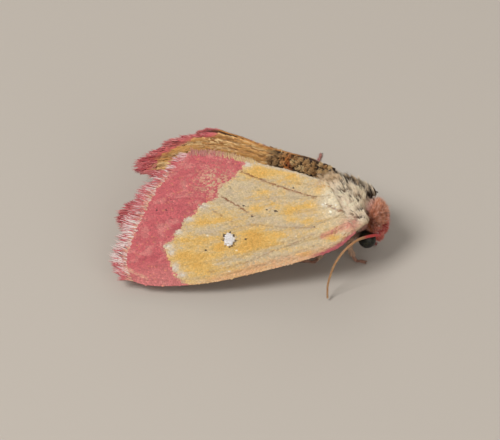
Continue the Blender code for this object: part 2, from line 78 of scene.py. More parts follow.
RIGHT_HINDWING = (
    ((-2.7, -1.5, 2.5), (-5.6, -1.75, 2.5), (-8.6, -1.65, 2.8), (-10.3, -1.75, 2.8)),
    ((-2.6, -1.75, 2.35), (-5.8, -2.45, 2.1), (-9.2, -2.75, 2.15), (-11.95, -3.35, 1.8)),
    ((-2.5, -1.95, 2.2), (-5.8, -3.2, 1.6), (-9.2, -4.1, 1.2), (-11.2, -4.4, 1.1)),
    ((-2.4, -2.15, 2.0), (-5.3, -3.8, 1.05), (-8.6, -4.9, 0.7), (-10.3, -5.4, 0.5)),
)
LEFT_HINDWING = (
    ((-4.0, 0.85, 3.0), (-5.6, 0.8, 3.3), (-7.6, 0.75, 3.6), (-9.2, 0.6, 3.6)),
    ((-4.0, 1.15, 2.5), (-6.0, 1.1, 2.95), (-8.8, 0.95, 3.1), (-11.1, 0.45, 2.6)),
    ((-4.0, 1.5, 2.05), (-6.0, 1.7, 2.2), (-9.4, 1.3, 2.2), (-12.3, 0.15, 1.7)),
    ((-3.9, 1.7, 1.65), (-5.8, 2.35, 1.25), (-9.2, 2.3, 0.95), (-11.6, 1.6, 0.75)),
)

# The inner part of the left hindwing is folded up beside the body, from its lower edge to its crest.
LEFT_FOLD = (
    ((-2.4, 0.3, 3.2), (-5.5, 0.05, 3.5), (-8.4, -0.1, 3.25), (-11.5, -0.5, 1.9)),
    ((-2.4, 0.45, 3.75), (-5.5, 0.3, 3.9), (-8.8, 0.2, 3.6), (-12.65, 0.08, 1.72)),
    ((-2.4, 0.6, 4.1), (-5.6, 0.5, 4.25), (-8.8, 0.4, 4.3), (-10.95, 0.35, 3.6)),
    ((-2.4, 0.75, 4.4), (-5.5, 0.7, 4.62), (-7.6, 0.62, 4.78), (-8.9, 0.6, 4.72)),
)


def rgb(r, g, b):
    """A colour in 0 to 255, made linear."""
    c = np.array((r, g, b), float) / 255
    return np.where(c <= 0.04045, c / 12.92, ((c + 0.055) / 1.055) ** 2.4)


PINK = rgb(198, 94, 98)
PINK_LIGHT = rgb(218, 144, 134)
PINK_DEEP = rgb(178, 70, 80)
GOLD_FLECK = rgb(212, 136, 100)
YELLOW = rgb(226, 183, 102)
OCHRE = rgb(220, 166, 76)
GREY_SCALE = rgb(212, 190, 148)
LILAC_SCALE = rgb(200, 178, 148)
PALE_TOOTH = rgb(218, 204, 186)
PEACH = rgb(222, 168, 124)
CRIMSON = rgb(170, 80, 84)
VEIN_BROWN = rgb(140, 84, 46)
DARK_DOT = rgb(58, 40, 34)
WHITE_SPOT = rgb(234, 228, 226)
CREAM_LINE = rgb(236, 202, 160)
FRINGE_TIP = rgb(255, 240, 234)
FRINGE_BASE = rgb(222, 114, 118)
GOLD_HAIR = rgb(208, 154, 86)
GOLD_LIGHT = rgb(240, 206, 146)
GOLD_DARK = rgb(140, 86, 38)
BORDER_RED = rgb(206, 92, 98)
FRINGE_ROSE = rgb(234, 146, 142)
FAR_FRINGE = rgb(204, 92, 94)


# Arrays: places, noise and colours

def unit(a):
    return a / np.maximum(np.linalg.norm(a, axis=-1, keepdims=True), 1e-12)


def spline(points, t):
    """Points at shares t of a smooth line. points is (n, d), or (n, N, d) with a line of its own for each t."""
    points = np.asarray(points, float)
    last = len(points) - 1
    at = np.clip(t, 0, 1) * last
    i = np.minimum(at.astype(int), last - 1)
    f = (at - i)[..., None]
    ends = [2 * points[:1] - points[1:2], points, 2 * points[-1:] - points[-2:-1]]
    padded = np.concatenate(ends)
    if points.ndim == 3:
        own = np.arange(len(t))
        p0, p1, p2, p3 = (padded[i + k, own] for k in range(4))
    else:
        p0, p1, p2, p3 = (padded[i + k] for k in range(4))
    return 0.5 * (2 * p1 + (p2 - p0) * f + (2 * p0 - 5 * p1 + 4 * p2 - p3) * f**2
                  + (3 * p1 - p0 - 3 * p2 + p3) * f**3)


_TABLE = np.random.default_rng(5).random(4096)


def noise(x, y, seed=0):
    """Smooth noise from 0 to 1 over a plane."""
    xi, yi = np.floor(x).astype(int), np.floor(y).astype(int)
    fx, fy = x - xi, y - yi
    fx, fy = fx * fx * (3 - 2 * fx), fy * fy * (3 - 2 * fy)
    pick = lambda i, j: _TABLE[(i * 127 + j * 311 + seed * 733) % 4096]
    top = pick(xi, yi) * (1 - fx) + pick(xi + 1, yi) * fx
    low = pick(xi, yi + 1) * (1 - fx) + pick(xi + 1, yi + 1) * fx
    return top * (1 - fy) + low * fy


def mix(a, b, share):
    """Colours between a and b. Either may be one colour for all places."""
    return a + (b - a) * np.clip(share, 0, 1)[..., None]


def soft(x, low, high):
    """0 below low, 1 above high, and smooth between."""
    t = np.clip((x - low) / (high - low), 0, 1)
    return t * t * (3 - 2 * t)


def blob(p, q, at, half, tilt=0.0):
    """1 inside an oval at a place, falling to 0 outside it."""
    c, s = math.cos(tilt), math.sin(tilt)
    a, b = (p - at[0]) * c + (q - at[1]) * s, (q - at[1]) * c - (p - at[0]) * s
    return np.exp(-((a / half[0]) ** 2 + (b / half[1]) ** 2))


def line_distance(p, q, points):
    """Distance to a line of points, and how far along it the nearest place is."""
    best, along = np.full(p.shape, 1e9), np.zeros(p.shape)
    for k in range(len(points) - 1):
        a, b = np.array(points[k]), np.array(points[k + 1])
        d = b - a
        t = np.clip(((p - a[0]) * d[0] + (q - a[1]) * d[1]) / (d @ d), 0, 1)
        gap = np.hypot(p - a[0] - t * d[0], q - a[1] - t * d[1])
        along = np.where(gap < best, (k + t) / (len(points) - 1), along)
        best = np.minimum(best, gap)
    return best, along


def grid(first, second):
    """Every pair from two lists, as two flat arrays."""
    return (g.ravel() for g in np.meshgrid(first, second, indexing="ij"))


def around(rows, columns):
    """For each face between closed rings of points: its corner in the lower ring, and the next one round."""
    i, j = grid(np.arange(rows - 1), np.arange(columns))
    return i * columns + j, i * columns + (j + 1) % columns


def turns(count):
    return np.arange(count) / count * 2 * np.pi


def lengths_along(points):
    """How far along a line of points each one is."""
    return np.concatenate([[0], np.cumsum(np.linalg.norm(np.diff(points, axis=0), axis=1))])


# Mesh making

def mesh_piece(name, vertices, faces, tint, uv, smooth):
    """An object from arrays: vertices in millimetres, triangles or quads, a colour a vertex, a UV a vertex."""
    mesh = bpy.data.meshes.new(name)
    sides = faces.shape[1]
    mesh.vertices.add(len(vertices))
    mesh.vertices.foreach_set("co", ((vertices + MOVE) * MM).astype(np.float32).ravel())
    mesh.loops.add(faces.size)
    mesh.loops.foreach_set("vertex_index", faces.astype(np.int32).ravel())
    mesh.polygons.add(len(faces))
    mesh.polygons.foreach_set("loop_start", np.arange(0, faces.size, sides, dtype=np.int32))
    mesh.update(calc_edges=True)
    mesh.polygons.foreach_set("use_smooth", np.full(len(faces), smooth))
    colours = np.ones((len(vertices), 4), np.float32)
    colours[:, :3] = tint
    layer = mesh.color_attributes.new(name="tint", type="FLOAT_COLOR", domain="POINT")
    layer.data.foreach_set("color", colours.ravel())
    layer = mesh.uv_layers.new(name="OFBake")
    layer.data.foreach_set("uv", uv[faces.ravel()].astype(np.float32).ravel())
    thing = bpy.data.objects.new(name, mesh)
    bpy.context.scene.collection.objects.link(thing)
    return thing


# A wing scale: an outline that widens from its stalk to three teeth, with a raised middle on both faces.
SCALE_OUTLINE = (
    (0.0, 0.12), (0.45, 0.5), (0.93, 0.42), (0.86, 0.2), (1.0, 0.0), (0.86, -0.2), (0.93, -0.42),
    (0.45, -0.5), (0.0, -0.12),
)


def wing_scales(root, way, face, length, width, lift, tint, uv):
    """Closed, slightly domed scales. Arrays of one row a scale give where each is and how it lies."""
    outline = np.array(SCALE_OUTLINE)
    rim = len(outline)
    side = unit(np.cross(way, face))
    way = unit(way + face * lift[:, None])
    up = unit(np.cross(side, way))
    n = len(root)
    droop = outline[:, 0] ** 2 * -0.06
    ring = (root[:, None] + way[:, None] * (outline[:, 0] * length[:, None])[..., None]
            + side[:, None] * (outline[:, 1] * width[:, None])[..., None]
            + up[:, None] * (droop * length[:, None])[..., None])
    middle = root + way * (0.5 * length)[:, None]
    over = middle + up * (0.10 * width)[:, None]
    under = middle - up * (0.04 * width)[:, None]
    vertices = np.concatenate([ring, over[:, None], under[:, None]], axis=1)
    k = np.arange(rim)
    nxt = (k + 1) % rim
    pattern = np.concatenate([np.stack([k, nxt, k * 0 + rim], 1), np.stack([nxt, k, k * 0 + rim + 1], 1)])
    faces = (np.arange(n)[:, None, None] * (rim + 2) + pattern[None]).reshape(-1, 3)
    flip = np.einsum("ij,ij->i", np.cross(way, side), up) > 0
    if flip.mean() > 0.5:
        faces = faces[:, ::-1]
    local = np.concatenate([outline, [(0.5, 0.0), (0.5, 0.0)]])
    spread = uv[:, None] + local[None] * PATCH
    shade = np.concatenate([0.86 + 0.2 * outline[:, 0], [1.0, 0.9]])
    tints = tint[:, None] * shade[None, :, None]
    return vertices.reshape(-1, 3), faces, tints.reshape(-1, 3), spread.reshape(-1, 2)


HAIR_STOPS = (0, 0.35, 0.7, 1.0)  # where a hair-scale's rings are, as shares of its length


def strands(root, way, face, length, half, thick, bend, colours, uv, widths=(0.7, 1.0, 0.75, 0.08), sway=0.0):
    """Closed, tapered, bending hair-scales of four sides. colours is (root, tip), uv the root's place."""
    n, s = len(root), len(HAIR_STOPS)
    way, stops, widths = unit(way), np.array(HAIR_STOPS), np.array(widths)
    length, half, thick, bend, sway = (np.broadcast_to(a, n) for a in (length, half, thick, bend, sway))
    side = unit(np.cross(way, face))
    up = unit(np.cross(side, way))
    centre = (root[:, None] + way[:, None] * (stops * length[:, None])[..., None]
              + up[:, None] * (stops**2 * bend[:, None])[..., None]
              + side[:, None] * (stops**2 * sway[:, None])[..., None])
    w, t = (widths * half[:, None])[..., None], (widths * thick[:, None])[..., None]
    side, up = side[:, None] * w, up[:, None] * t
    rings = np.stack([centre + side, centre + up, centre - side, centre - up], axis=2)
    vertices = rings.reshape(n, s * 4, 3)
    pattern = []
    for r in range(s - 1):
        for k in range(4):
            a, b = r * 4 + k, r * 4 + (k + 1) % 4
            pattern += [(a, b, b + 4), (a, b + 4, a + 4)]
    last = (s - 1) * 4
    pattern += [(0, 2, 1), (0, 3, 2), (last, last + 1, last + 2), (last, last + 2, last + 3)]
    faces = (np.arange(n)[:, None, None] * (s * 4) + np.array(pattern)[None]).reshape(-1, 3)
    share = np.repeat(stops, 4)[None, :, None]
    low, high = (np.broadcast_to(c, root.shape)[:, None] for c in colours)
    tints = low * (1 - share) + high * share
    local = np.stack([np.repeat(stops, 4) - 0.5, np.tile((0.25, 0.0, -0.25, 0.0), s)], axis=1)
    spread = uv[:, None] + local[None] * PATCH
    return vertices.reshape(-1, 3), faces, tints.reshape(-1, 3), spread.reshape(-1, 2)


def tufts_of(root, count, random):
    """The hair-scale that leads each one's tuft, and how near it is to its tuft's middle, from 0 to 1."""
    lead = random.choice(len(root), count, replace=False)
    gap = np.linalg.norm(root[:, None] - root[lead][None], axis=2)
    near = gap.min(axis=1)
    return lead[gap.argmin(axis=1)], np.clip(1 - near / np.quantile(near, 0.97), 0, 1)


def drawn_together(root, way, length, lead, share):
    """The way and length of hair-scales whose tips are drawn towards the tip that leads their tuft."""
    tip = root + way * length[:, None]
    reach = tip + (tip[lead] - tip) * share - root
    size = np.linalg.norm(reach, axis=1)
    return reach / size[:, None], size


def gather(parts):
    """Several results of wing_scales, strands or tube as one."""
    offset, found = 0, [[], [], [], []]
    for vertices, faces, tints, uvs in parts:
        found[0].append(vertices)
        found[1].append(faces + offset)
        found[2].append(tints)
        found[3].append(uvs)
        offset += len(vertices)
    return [np.concatenate(f) for f in found]


def piece(name, made, material, replaced=(), smooth=True, turn=False):
    """A piece from (vertices, faces, colours, UVs). turn makes a closed mesh's faces look outward."""
    thing = mesh_piece(name, *made, smooth)
    if turn:
        outward(thing)
    thing.data.materials.clear()
    thing.data.materials.append(material)
    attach(thing, "root")
    if replaced:
        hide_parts(*replaced)
    return thing


# Materials

def shader(name, rough, spec, grain, grain_scale, sheen=0.0, rough_swing=0.15):
    """A material of the piece's own tint, with mottle, roughness and bump from one fine grain."""
    made = bpy.data.materials.new(name)
    made.use_nodes = True
    nodes, link = made.node_tree.nodes, made.node_tree.links.new
    main = nodes["Principled BSDF"]

    def node(kind, **values):
        new = nodes.new("ShaderNode" + kind)
        for socket, value in values.items():
            new.inputs[socket.replace("_", " ")].default_value = value
        return new

    fine = node("TexNoise", Scale=grain_scale, Detail=3.0)
    link(node("TexCoord").outputs["Object"], fine.inputs["Vector"])
    tint = node("VertexColor")
    tint.layer_name = "tint"
    gain = node("MapRange", From_Min=0.25, From_Max=0.75, To_Min=1 - grain, To_Max=1 + grain)
    worn = node("MapRange", To_Min=rough - rough_swing, To_Max=rough + rough_swing)
    raised = node("Bump", Strength=0.3, Distance=0.00003)
    for target in (gain.inputs["Value"], worn.inputs["Value"], raised.inputs["Height"]):
        link(fine.outputs["Fac"], target)
    scaled = node("VectorMath")
    scaled.operation = "SCALE"
    link(tint.outputs["Color"], scaled.inputs[0])
    link(gain.outputs["Result"], scaled.inputs["Scale"])
    link(scaled.outputs["Vector"], main.inputs["Base Color"])
    link(worn.outputs["Result"], main.inputs["Roughness"])
    link(raised.outputs["Normal"], main.inputs["Normal"])
    main.inputs["Specular IOR Level"].default_value = spec
    main.inputs["Sheen Weight"].default_value = sheen
    return made


SCALE_SKIN = shader("wing_scale", rough=0.55, sheen=0.25, spec=0.35, grain=0.10, grain_scale=16000.0)
MEMBRANE = shader("wing_membrane", rough=0.5, sheen=0.1, spec=0.3, grain=0.15, grain_scale=12000.0)
FRINGE_HAIR = shader("fringe_hair", rough=0.45, sheen=0.2, spec=0.4, grain=0.08, grain_scale=9000.0)
SKIN = shader("body_skin", rough=0.7, sheen=0.1, spec=0.2, grain=0.25, grain_scale=7000.0)
COAT = shader("body_coat", rough=0.65, sheen=0.05, spec=0.3, grain=0.12, grain_scale=9000.0)
LIMB = shader("limb_scale", rough=0.5, sheen=0.2, spec=0.35, grain=0.15, grain_scale=14000.0)
EYE = shader("eye_facets", rough=0.3, spec=0.25, grain=0.2, grain_scale=26000.0, rough_swing=0.08)


# Wings

def outline_point(u, v):
    """(along, across) on the forewing, u from root to outer margin and v from costa to inner margin."""
    root, costa, outer, inner = (np.array(line) for line in (FORE_ROOT, FORE_COSTA, FORE_OUTER, FORE_INNER))
    u1, v1 = u[..., None], v[..., None]
    rim = (spline(costa, u) * (1 - v1) + spline(inner, u) * v1
           + spline(root, v) * (1 - u1) + spline(outer, v) * u1)
    corners = (costa[0] * (1 - u1) + costa[-1] * u1) * (1 - v1) + (inner[0] * (1 - u1) + inner[-1] * u1) * v1
    return rim - corners


def ridge(v, veins):
    """1 on the veins, falling to 0 beside them."""
    return sum(np.exp(-((v - at) / VEIN_HALF) ** 2) for at in veins)


def forewing_plane(corners):
    """The way a forewing's outer face looks, and a function that puts (along, across, height) in place."""
    base, apex, hind = (np.array(c) for c in corners)
    a, b = apex - base, hind - base
    out = unit(np.cross(a, b))
    out = -out if out[2] < 0 else out

    def put(p, q, h):
        return (base + a * ((p - q * HIND_CORNER[0] / HIND_CORNER[1]) / APEX_REACH)[:, None]
                + b * (q / HIND_CORNER[1])[:, None] + out * h[:, None])
    return out, put


def shoulder(p, q, at, height):
    """The rise of a wing over the moth's shoulder."""
    return height * np.exp(-((p - at[0]) ** 2 + (q - at[1]) ** 2) / SHOULDER_SPREAD**2)


def forewing_surface(corners, cup, lift, bulge=SHOULDER_BULGE, camber=CAMBER, bulge_at=SHOULDER_AT, trim=0.0):
    """A function of (u, v) that gives points of a forewing's middle sheet, lifted in the solid's thickness."""
    put = forewing_plane(corners)[1]

    def at(u, v):
        u = trim + (1 - trim) * u
        p, q = outline_point(u, v).T
        rise = shoulder(p, q, bulge_at, bulge) + camber * np.sin(np.pi * np.clip((q + 1.1) / 6.5, 0, 1))
        curl = cup * np.clip((p - CURL_FROM) / (APEX_REACH - CURL_FROM), 0, 1.2) ** 2
        waves = 0.05 * (noise(p * 1.1, q * 1.6, 3) - 0.5)
        return put(p, q, rise - curl + lift + VEIN_RISE * ridge(v, FORE_VEINS) * (1 - 0.5 * u) + waves)
    return at


def hindwing_surface(fan, lift):
    """A function of (u, v) through lines from the root to the margin, pleated between its veins."""
    fan = np.array(fan)

    def flat(u, v):
        return spline(np.stack([spline(line, u) for line in fan]), v)

    def at(u, v):
        point = flat(u, v)
        step = 1e-3
        du = flat(np.minimum(u + step, 1), v) - flat(np.maximum(u - step, 0), v)
        dv = flat(u, np.minimum(v + step, 1)) - flat(u, np.maximum(v - step, 0))
        out = unit(np.cross(du, dv))
        out = out * np.where(out[:, 2:] < 0, -1, 1)
        pleat = 0.06 * np.sin(v * np.pi * 9) * u
        h = lift + VEIN_RISE * ridge(v, HIND_VEINS) + pleat
        return point + out * h[:, None]
    return at


def frame_at(surface, u, v, step=0.004):
    """Where a place on a wing is, the way its veins run there, and the way that its upper face looks."""
    low_u, high_u = np.clip(u - step, 0, 1), np.clip(u + step, 0, 1)
    low_v, high_v = np.clip(v - step, 0, 1), np.clip(v + step, 0, 1)
    du, dv = surface(high_u, v) - surface(low_u, v), surface(u, high_v) - surface(u, low_v)
    out = unit(np.cross(du, dv))
    out = out * np.where(out[:, 2:] < 0, -1, 1)
    return surface(u, v), unit(du), unit(dv), out


def membrane(name, surface, paint, replaced):
    """A wing's thin closed sheet with its markings."""
    rows, columns, thick = 60, 80, 0.05
    u, v = grid(np.linspace(0, 1, rows), np.linspace(0, 1, columns))
    point, _, _, out = frame_at(surface, u, v)
    over, under = point + out * thick / 2, point - out * thick / 2
    i, j = grid(np.arange(rows - 1), np.arange(columns - 1))
    a = i * columns + j
    top = np.stack([a, a + 1, a + columns + 1, a + columns], 1)
    half = rows * columns
    last = (rows - 1) * columns
    rim = np.concatenate([np.arange(columns), np.arange(1, rows) * columns + columns - 1,
                          last + np.arange(columns - 2, -1, -1), np.arange(rows - 2, 0, -1) * columns])
    turn = np.roll(rim, -1)
    side = np.stack([rim, rim + half, turn + half, turn], 1)
    faces = np.concatenate([top, top[:, ::-1] + half, side])
    normal = np.cross(over[top[:, 1]] - over[top[:, 0]], over[top[:, 3]] - over[top[:, 0]])
    if (np.einsum("ij,ij->i", normal, out[top[:, 0]]) > 0).mean() < 0.5:
        faces = faces[:, ::-1]
    tint = np.concatenate([paint(u, v, False), paint(u, v, True)])
    uv = np.stack([0.01 + 0.48 * u, 0.02 + 0.96 * v], 1)
    uv = np.concatenate([uv, uv + (0.5, 0)])
    piece(name, (np.concatenate([over, under]), faces, tint, uv), MEMBRANE, replaced)


def scale_rows(surface, spacing, random, reach):
    """Places in rows across a wing, at an even distance from each other along every row."""
    probe = np.linspace(0, 1, 41)  # where each row's length is measured
    run = np.linalg.norm(np.diff(surface(probe, probe * 0), axis=0), axis=1).sum()
    rows = int(run / spacing[0])
    found = []
    for r in range(rows):
        u = (r + 0.5) / rows * reach
        steps = lengths_along(surface(probe * 0 + u, probe))
        count = max(int(steps[-1] / spacing[1]), 1)
        want = (np.arange(count) + 0.5 * (r % 2) + 0.25) / count * steps[-1]
        v = np.interp(want + random.normal(0, spacing[1] * 0.15, count), steps, probe)
        found.append(np.stack([u + random.normal(0, 0.15 / rows, count), v], 1))
    u, v = np.clip(np.concatenate(found), 0.001, 0.999).T
    return u, v


def scale_coat(name, surface, paint, under, size, spacing, random, reach):
    """One side of a wing, covered with scales."""
    u, v = scale_rows(surface, spacing, random, reach)
    margin = 0.035 if under else 0.007
    v = np.clip(v, margin, 1 - margin)
    point, along, across, out = frame_at(surface, u, v)
    face = -out if under else out
    n = len(u)
    way = unit(along + across * random.normal(0, 0.16, n)[:, None])
    tint = paint(u, v, under)
    tint = tint * (1 + random.normal(0, 0.07, n))[:, None]
    length = size[0] * (1 + random.normal(0, 0.12, n)) * (1.0 - 0.25 * (u > 0.97))
    width = size[1] * (1 + random.normal(0, 0.1, n))
    lift = 0.10 + np.abs(random.normal(0, 0.05, n))
    uv = np.stack([0.01 + 0.98 * u, 0.01 + 0.98 * v], 1)
    made = wing_scales(point + face * 0.03, way, face, length, width, lift, np.clip(tint, 0, 1), uv)
    return piece(name, made, SCALE_SKIN, smooth=False)


# Markings of the forewing, in (along, across).

PINK_EDGE = (  # (across, along) of the inner edge of the pink band, from the costa to the inner margin
    (-1.2, 8.6), (-0.77, 9.21), (-0.46, 9.64), (-0.01, 9.79), (0.44, 9.95), (0.95, 9.95), (1.44, 10.05),
    (1.6, 9.44), (2.05, 9.4), (2.15, 8.89), (2.57, 8.79), (2.62, 8.2), (3.12, 7.85), (3.16, 7.2),
    (3.3, 6.84), (3.59, 6.84), (3.87, 6.51), (4.08, 5.88), (4.49, 5.45), (4.84, 4.99), (5.8, 4.6),
)
YELLOW_AT = (  # (along, across, half along, half across, strength)
    (4.4, 4.0, 0.9, 0.3, 1.1), (3.06, 3.4, 0.45, 0.28, 0.9), (4.9, 4.44, 0.5, 0.2, 0.6),
    (1.7, 2.3, 0.3, 0.35, 1.0), (4.6, 3.0, 0.35, 0.14, 0.7), (3.59, 2.71, 0.3, 0.15, 0.5),
    (5.06, 2.24, 0.35, 0.18, 0.8), (4.27, 2.26, 0.3, 0.12, 0.5), (3.39, 1.74, 0.5, 0.25, 0.9),
    (2.42, 1.71, 0.45, 0.2, 0.8), (3.49, 1.25, 0.3, 0.12, 0.6), (2.76, 0.97, 0.6, 0.14, 0.7),
    (7.9, 2.15, 0.5, 0.22, 0.9), (7.15, 2.13, 0.3, 0.15, 0.5), (9.0, 1.46, 0.35, 0.16, 0.8),
    (8.2, 1.25, 0.5, 0.2, 0.6), (7.3, 0.7, 0.35, 0.3, 1.1), (9.1, 0.68, 0.9, 0.2, 1.0),
    (8.5, 0.0, 0.8, 0.4, 0.7), (5.53, 0.95, 0.55, 0.25, 1.0), (5.2, 0.5, 0.8, 0.35, 1.1),
    (6.1, 0.4, 0.6, 0.3, 0.7), (4.3, 0.66, 0.4, 0.15, 0.7), (3.2, -0.62, 0.35, 0.12, 1.0),
    (1.62, -0.12, 0.28, 0.16, 1.3), (4.1, 0.16, 0.5, 0.12, 0.3), (6.78, 2.04, 0.4, 0.15, 0.4),
)
GREY_AT = (  # (along, across, half along, half across)
    (5.49, 3.58, 0.7, 0.2), (6.3, 2.9, 0.7, 0.35), (4.6, 1.56, 1.1, 0.18), (3.7, 1.0, 0.6, 0.12),
    (7.2, 1.7, 0.6, 0.14), (7.76, 1.62, 0.5, 0.12), (3.26, 2.42, 0.5, 0.2), (3.16, -0.07, 0.9, 0.13),
    (4.8, -0.29, 1.3, 0.16), (6.4, -0.15, 1.0, 0.14), (7.4, 0.97, 0.2, 0.1), (1.66, 1.6, 0.5, 0.2),
    (7.3, -0.15, 0.7, 0.12), (6.5, 3.5, 0.6, 0.25),
)
PALE_TEETH = (  # (along, across, half along, half across)
    (7.7, 2.98, 0.3, 0.13), (8.5, 2.46, 0.26, 0.11), (9.2, 1.95, 0.24, 0.12), (9.8, 1.33, 0.24, 0.12),
    (9.72, 1.0, 0.16, 0.18), (9.7, 0.2, 0.18, 0.22), (9.45, -0.25, 0.2, 0.14), (5.1, 4.6, 0.25, 0.16),
)
VEIN_LINES = (  # rubbed veins that show brown: line, strength, half width
    (((5.49, 4.3), (4.24, 3.43), (3.16, 2.69), (2.07, 1.98)), 1.0, 0.04),
    (((6.68, 3.25), (5.98, 2.57), (5.33, 1.89)), 0.95, 0.036),
    (((7.89, 3.13), (7.17, 2.54), (6.35, 1.73)), 0.5, 0.028),
    (((1.58, 1.45), (0.73, 0.78)), 0.8, 0.045),
    (((6.57, 1.58), (5.23, 1.41), (3.94, 0.94), (2.35, 0.54)), 0.35, 0.05),
    (((8.15, -0.41), (6.27, -0.35), (4.74, -0.1), (2.73, 0.14)), 0.5, 0.032),
    (((6.66, 0.16), (4.88, 0.19), (2.41, 0.26)), 0.35, 0.03),
    (((7.2, -0.72), (5.2, -0.62), (2.6, -0.3)), 0.35, 0.028),
)
DARK_SPOTS = (  # (along, across, half along, half across)
    (10.02, 3.31, 0.05, 0.045), (9.55, 3.19, 0.09, 0.04), (5.65, 2.52, 0.12, 0.035),
    (4.61, 2.06, 0.06, 0.035), (4.17, 1.88, 0.13, 0.055), (5.91, 0.8, 0.1, 0.03), (8.04, 0.72, 0.035, 0.03),
    (9.05, 0.68, 0.03, 0.03), (6.21, 3.57, 0.05, 0.035), (5.91, 3.68, 0.04, 0.03), (5.64, 3.29, 0.03, 0.03),
    (5.41, 3.23, 0.04, 0.03), (4.81, 3.11, 0.03, 0.03), (6.33, 3.88, 0.04, 0.03), (3.08, 2.82, 0.05, 0.03),
    (2.41, 0.57, 0.08, 0.03), (5.43, 1.87, 0.04, 0.04), (4.35, 1.98, 0.05, 0.03),
)
SPOT_AT, SPOT_HALF = (6.77, 0.99), (0.27, 0.33)
CRIMSON_LINE = ((0.5, -0.2), (1.2, -0.52), (1.7, -0.7), (2.4, -0.84), (3.3, -0.92))  # the root of the costa
PINK_LINE = ((0.7, 0.3), (1.3, 0.2), (2.1, 0.05))  # the stripe behind it
APEX_LINE = ((12.2, 0.74), (11.22, -0.03))  # the pale ray into the apex
RUBBED_AT, RUBBED_HALF = (6.9, 4.1), (0.9, 0.75)  # where the pink is rubbed off
MARKS_MOVED = (0.13, 0.14)  # the markings above sit this much nearer the root and the costa


